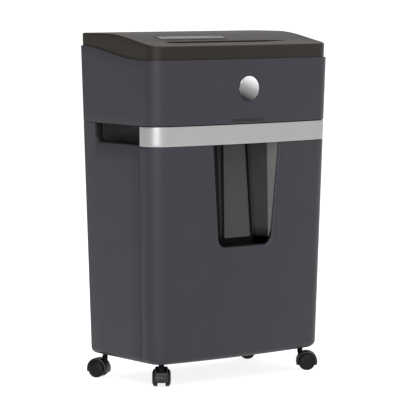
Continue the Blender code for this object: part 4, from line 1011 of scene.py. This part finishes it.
def cover_block(inset, drop, edge, foot):
    """The space under the cover's surface: upright sides, a rounded top edge and the shaped top."""
    tops = [cover_top(y) - drop for _x, y in full_path(HEAD_FRONT_TOP, inset)]
    rows = [on_plan(inset, [foot + (top - edge - foot) * share for top in tops])
            for share in (0.0, 0.25, 0.5, 0.75, 1.0)]
    rows += [on_plan(inset + along, [top - drop_in for top in tops]) for drop_in, along in arc(edge, 6)[1:]]
    # From the rim in to a line along the middle
    rim = rows[-1]
    for j in range(1, COVER_RINGS):
        row = []
        for x, y, _z in rim:
            start = Vector((x, y))
            end = Vector((min(max(x, -SPINE_HALF_X), SPINE_HALF_X), SPINE_Y))
            spot = start.lerp(end, j / COVER_RINGS)
            row.append((*spot, cover_height(spot.x, spot.y, edge + (spot - start).length) - drop))
        rows.append(row)
    return solid(rows)


def slot_trough(end, tip):
    """A hollow that runs on from an end of the slot, and narrows and rises to its tip."""
    start = end + (end - tip) * 0.1
    rows = []
    for share in (0.0, 0.2, 0.4, 0.6, 0.8, 1.0):
        x = start + (tip - start) * share
        near = SLOT_Y - SLOT_HALF_Y * (1 - 0.9 * share)
        far = SLOT_Y + SLOT_HALF_Y * (1 - 0.9 * share)
        deep = 0.0018 * (1 - share) ** 0.7 + 0.0002
        low = [(x, y, cover_height(x, y, 0.03) - deep) for y in (near, far)]
        rows.append(low + [(x, far, ABOVE_ALL), (x, near, ABOVE_ALL)])
    return solid(rows)


def build_cover():
    cover = mesh_object("top_cover_shell", cover_block(COVER_INSET, 0.0, COVER_ROUND, SKIRT_BOTTOM), COVER)
    cut(cover, cover_block(COVER_INSET + COVER_WALL, COVER_WALL, 0.0008, SKIRT_BOTTOM - 0.005))
    middle = (SLOT_RIGHT_X + SLOT_LEFT_X) / 2
    half = (SLOT_RIGHT_X - SLOT_LEFT_X) / 2
    cut(cover, plate(half, SLOT_HALF_Y, 0.003, 5, ((0, 0.56), (0, ABOVE_ALL)), (middle, SLOT_Y)))
    cut(cover, slot_trough(SLOT_RIGHT_X, SLOT_RIGHT_X + 0.04))
    cut(cover, slot_trough(SLOT_LEFT_X, SLOT_LEFT_X - 0.012))
    place, half_x, half_y = panel_place()
    pocket = plate(half_x + 0.0003, half_y + 0.0003, PANEL_ROUND, 10, ((0, -0.002), (0, 0.02)))
    cut(cover, pocket, place=place)
    for x in BUTTON_X:
        cut(cover, rod(-0.02, 0.02, 0.006, 32, "Z", (x - place.translation.x, 0, 0)), place=place)
    shown(cover, "root", ["top_cover"], 38)


def panel_place():
    """Where the control panel's top face is, and its half sizes on the slope that it lies on."""
    low, high = PANEL_SLOPE_Y
    tilt = atan2(cover_top(high) - cover_top(low), high - low)
    y = sum(PANEL_Y) / 2
    z = cover_top(low) + (y - low) * tan(tilt)
    place = Matrix.Translation((sum(PANEL_X) / 2, y, z)) @ Matrix.Rotation(tilt, 4, "X")
    return place, (PANEL_X[1] - PANEL_X[0]) / 2, (PANEL_Y[1] - PANEL_Y[0]) / 2 / cos(tilt)


def build_panel():
    """The panel's plate and its gloss inlay, with holes for the buttons and the lens."""
    place, half_x, half_y = panel_place()
    layers = ((0, -0.0017), (0, -0.0006), (0.0002, -0.0003), (0.0006, -0.0001), (0.0012, 0.0))
    panel = mesh_object("control_panel_plate", plate(half_x, half_y, PANEL_ROUND, 10, layers), COVER)
    layers = ((0, -0.0012), (0, 0.0001), (0.0002, 0.0003), (0.0007, 0.0004))
    inlay_plate = plate(INLAY_HALF_X, INLAY_HALF_Y, INLAY_HALF_Y - 0.0001, 12, layers)
    inlay = mesh_object("control_panel_inlay", inlay_plate, PANEL)
    # The inlay's socket is the inlay's outline moved outwards
    layers = ((-0.0001, -0.0013), (-0.0001, 0.01))
    cut(panel, plate(INLAY_HALF_X, INLAY_HALF_Y, INLAY_HALF_Y - 0.0001, 12, layers))
    middle, half = lens_span(place)
    for piece in (panel, inlay):
        for x in BUTTON_X:
            cut(piece, rod(-0.01, 0.01, 0.0059, 40, "Z", (x - place.translation.x, 0, 0)))
        window = ((-0.0003, -0.01), (-0.0003, 0.01))
        cut(piece, plate(half, LENS_HALF_Y, LENS_HALF_Y - 0.0001, 6, window, (middle, 0)))
        piece.matrix_world = place
    shown(panel, "root", ["control_panel"])
    shown(inlay, "root", [])


def lens_span(place):
    """The middle and half length of the indicator's lens, from the panel's centre."""
    low, high = (x - place.translation.x for x in LENS_X)
    return (low + high) / 2, (high - low) / 2


def build_lens():
    place, _half_x, _half_y = panel_place()
    middle, half = lens_span(place)
    layers = ((0, -0.0017), (0, -0.0001), (0.0003, 0.0001), (0.0008, 0.0002))
    bm = plate(half, LENS_HALF_Y, LENS_HALF_Y - 0.0001, 6, layers, (middle, 0))
    lens = mesh_object("indicator_window", bm, LENS)
    lens.matrix_world = place
    shown(lens, "root", ["indicator_lens"])


def build_buttons():
    """Three dished caps, drawn as (height, radius) profiles."""
    place, _half_x, _half_y = panel_place()
    profile = [(-0.004, 0), (-0.004, 0.0055), (0.0003, 0.0055), (0.0006, 0.0053), (0.0008, 0.0049),
               (0.0009, 0.0044), (0.0008, 0.003), (0.0006, 0.0015), (0.0005, 0)]
    for x, node in zip(BUTTON_X, ("reverse_button", "power_button", "forward_button")):
        button = mesh_object(node + "_cap", turned(profile, 40), PANEL)
        button.matrix_world = place @ Matrix.Translation((x - place.translation.x, 0, 0))
        shown(button, node, [node])


# --- Castors

def round_axle(radius, degrees, y):
    """A point at a radius and an angle round a castor's axle."""
    angle = radians(degrees)
    return TRAIL + radius * cos(angle), y, WHEEL_RADIUS + radius * sin(angle)


def mesh_of(obj, degrees):
    """The smoothed mesh of an object, which is removed."""
    mesh = obj.data
    mesh.shade_smooth()
    mesh.set_sharp_from_angle(angle=radians(degrees))
    bpy.data.objects.remove(obj, do_unlink=True)
    return mesh


def hood_mesh():
    """A castor's hood, drawn with its stem on Z and its wheels' axle along Y, behind the stem."""
    section = [(-HOOD_HALF, HOOD_INNER)]
    section += [(across - HOOD_HALF, HOOD_RADIUS - along) for across, along in arc(HOOD_SHOULDER, 5)[::-1]]
    section += [(-y, radius) for y, radius in section[::-1]]
    low, high = HOOD_ANGLES
    rings = [[round_axle(radius, low + (high - low) * k / 48, y) for y, radius in section] for k in range(49)]
    hood = mesh_object("hood_shape", solid(rings), HOOD)
    web = [[round_axle(0.0185 - shrink, -22 + 224 * k / 40, y) for k in range(41)]
           for y, shrink in ((-0.0059, 0.0008), (-0.0054, 0.0), (0.0054, 0.0), (0.0059, 0.0008))]
    cut(hood, solid(web), "UNION")
    cut(hood, rod(-AXLE_HALF, AXLE_HALF, AXLE_RADIUS, 24, "Y", (TRAIL, 0, WHEEL_RADIUS)), "UNION")
    profile = [(COLLAR_LOW, 0), (COLLAR_LOW, 0.0014), (0.0285, 0.0034), (0.031, 0.0045),
               (0.0335, COLLAR_RADIUS), (0.0381, COLLAR_RADIUS), (0.0385, 0.0045), (0.0385, 0)]
    cut(hood, turned(profile, 40), "UNION")
    cut(hood, rod(0.0282, 0.05, 0.0041, 32))
    edged(hood, 0.0003, 45)
    # The collar is near black: painted shade under the body
    hood.data.materials.append(PAINTED_SHADE_BLACK)
    for face in hood.data.polygons:
        x, y, z = face.center
        if hypot(x, y) < COLLAR_RADIUS + 0.0006 and z > COLLAR_LOW - 0.0004:
            face.material_index = 1
    return mesh_of(hood, 38)


def wheel_mesh():
    """A castor's wheel, drawn about its own axis, which is Y, with its outer face at +Y."""
    face = WHEEL_WIDTH
    profile = [(face - 0.0004, 0), (face - 0.0003, 0.0026), (face - 0.0006, 0.003), (face - 0.0001, 0.0034),
               (face, 0.006)]
    profile += [(face - 0.0018 * (k / 8) ** 2.2, 0.006 + 0.007 * (k / 8)) for k in range(1, 9)]
    profile += [(face - 0.0026, 0.0132), (face - 0.0027, 0.01345), (face - 0.0024, 0.01385),
                (face - 0.0028, 0.0144), (face - 0.0036, 0.0148), (face - 0.0048, WHEEL_RADIUS)]
    profile += [(0.003, WHEEL_RADIUS), (0.0012, 0.01496), (0.0005, 0.0147), (0.0001, 0.0142), (0, 0.013),
                (0, 0.0029), (face - 0.002, 0.0029), (face - 0.002, 0)]
    return mesh_of(mesh_object("wheel_shape", turned(profile, 64, "Y"), TYRE), 35)


def placed_copy(name, shape, place):
    mesh = shape.copy()
    mesh.transform(place)
    return new_object(name, mesh)


def build_castors():
    hood_shape = hood_mesh()
    wheel_shape = wheel_mesh()
    for corner, (x, y, degrees) in CASTORS.items():
        place = Matrix.Translation((x, y, 0)) @ Matrix.Rotation(radians(degrees), 4, "Z")
        hood = placed_copy(f"{corner}_hood_moulding", hood_shape, place)
        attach(hood, f"{corner}_castor")
        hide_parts(f"{corner}_castor_hood")
        for letter, side in (("a", 1), ("b", -1)):
            turn = Matrix.Rotation(0.0 if side > 0 else pi, 4, "Z")
            axle = place @ Matrix.Translation((TRAIL, side * WHEEL_SIDE, WHEEL_RADIUS)) @ turn
            wheel = placed_copy(f"{corner}_tyre_{letter}", wheel_shape, axle)
            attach(wheel, f"{corner}_wheel_{letter}")
            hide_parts(f"{corner}_wheel_{letter}")


# --- Carried-over nodes

CARRIED = (
    (BLACK, ("head_base_tray", "feed_throat", "paper_sensor_housing", "interlock_switch", "gearbox_cover",
             "front_stripper_comb", "rear_stripper_comb", "power_inlet", "mains_rocker", "vent_grille")),
    (STEEL, ("front_cutter_shaft", "rear_cutter_shaft", "rear_timing_gear", "front_timing_gear", "drive_gear",
             "motor_shaft_pinion", "gear_stud", "front_tie_rod", "rear_tie_rod")),
    (BLACK_STEEL, tuple(f"{corner}_castor_stem" for corner in CASTORS)),
    (BRONZE, ("left_bearing_block", "right_bearing_block")),
    (ZINC, ("left_mechanism_plate", "right_mechanism_plate", "motor")),
    (NYLON, ("paper_sensor_lever", "interlock_plunger", "reduction_gear")),
    (BOARD, ("circuit_board",)),
)


def carry_over():
    """Gives the CAD's own nodes their materials and softly broken edges."""
    for material, nodes in CARRIED:
        for name in nodes:
            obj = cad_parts[name]
            obj.data.materials.clear()
            obj.data.materials.append(material)
            modifier_of(obj, "WELD", merge_threshold=1e-5)
            modifier_of(obj, "BEVEL", width=0.00025, segments=2, limit_method="ANGLE",
                        angle_limit=radians(50), use_clamp_overlap=True)


# --- Stage, lights and camera

def build_stage():
    """A bright white floor, and white surroundings that dim towards the back."""
    white = finished("floor_white", (0.35, 0.35, 0.35), 0.9, 40.0, 0.0, 0.005, 0.02, 0.0,
                     Emission_Strength=0.85, Emission_Color=(1.0, 1.0, 1.0, 1.0))
    corners = [[(-FLOOR_HALF, y, FLOOR_Z), (FLOOR_HALF, y, FLOOR_Z)] for y in (-FLOOR_HALF, FLOOR_HALF)]
    floor = mesh_object("floor", sheet(corners), white)
    world = bpy.data.worlds.new("studio")
    bpy.context.scene.world = world
    world.use_nodes = True
    tree = world.node_tree
    background = tree.nodes["Background"]
    background.inputs["Color"].default_value = (1.0, 1.0, 1.0, 1.0)
    toward = add_node(tree, "VectorMath", "DOT_PRODUCT")
    toward.inputs[1].default_value = BRIGHT_WAY
    tree.links.new(add_node(tree, "TexCoord").outputs["Generated"], toward.inputs[0])
    fade = ranged(tree, toward.outputs["Value"], -0.95, 0.75, DIM_SIDE, BRIGHT_SIDE, "SMOOTHSTEP")
    tree.links.new(fade, background.inputs["Strength"])


def direction_of(azimuth, elevation):
    """The direction of two angles. Azimuth 0 is in front, and 90 is on the right."""
    a, e = radians(azimuth), radians(elevation)
    return Vector((sin(a) * cos(e), -cos(a) * cos(e), sin(e)))


def soft_light(name, azimuth, elevation, distance, size, power):
    """A rectangular area light aimed at the shredder."""
    data = bpy.data.lights.new(name, "AREA")
    data.shape = "RECTANGLE"
    data.size, data.size_y = size
    data.energy = power
    light = new_object(name, data)
    away = direction_of(azimuth, elevation)
    light.location = Vector(LIGHT_AIM) + away * distance
    light.rotation_mode = "QUATERNION"
    light.rotation_quaternion = away.to_track_quat("Z", "Y")


def build_camera():
    data = bpy.data.cameras.new("camera")
    data.sensor_width = 36
    data.lens = CAMERA_LENS
    data.shift_x, data.shift_y = CAMERA_SHIFT
    data.clip_end = 1000
    camera = new_object("camera", data)
    camera.location = CAMERA_AT
    camera.rotation_mode = "QUATERNION"
    camera.rotation_quaternion = (-direction_of(*CAMERA_ANGLES)).to_track_quat("-Z", "Y")
    bpy.context.scene.camera = camera
    bpy.context.scene.view_settings.view_transform = "Standard"


build_camera()
build_stage()
for light in LIGHTS:
    soft_light(*light)

build_cabinet()
build_grips()
build_bin_front()
build_band()
build_scoop()
build_sill()
build_bucket()
build_head()
build_badge()
build_light_bar()
build_cover()
build_panel()
build_lens()
build_buttons()
build_castors()
carry_over()
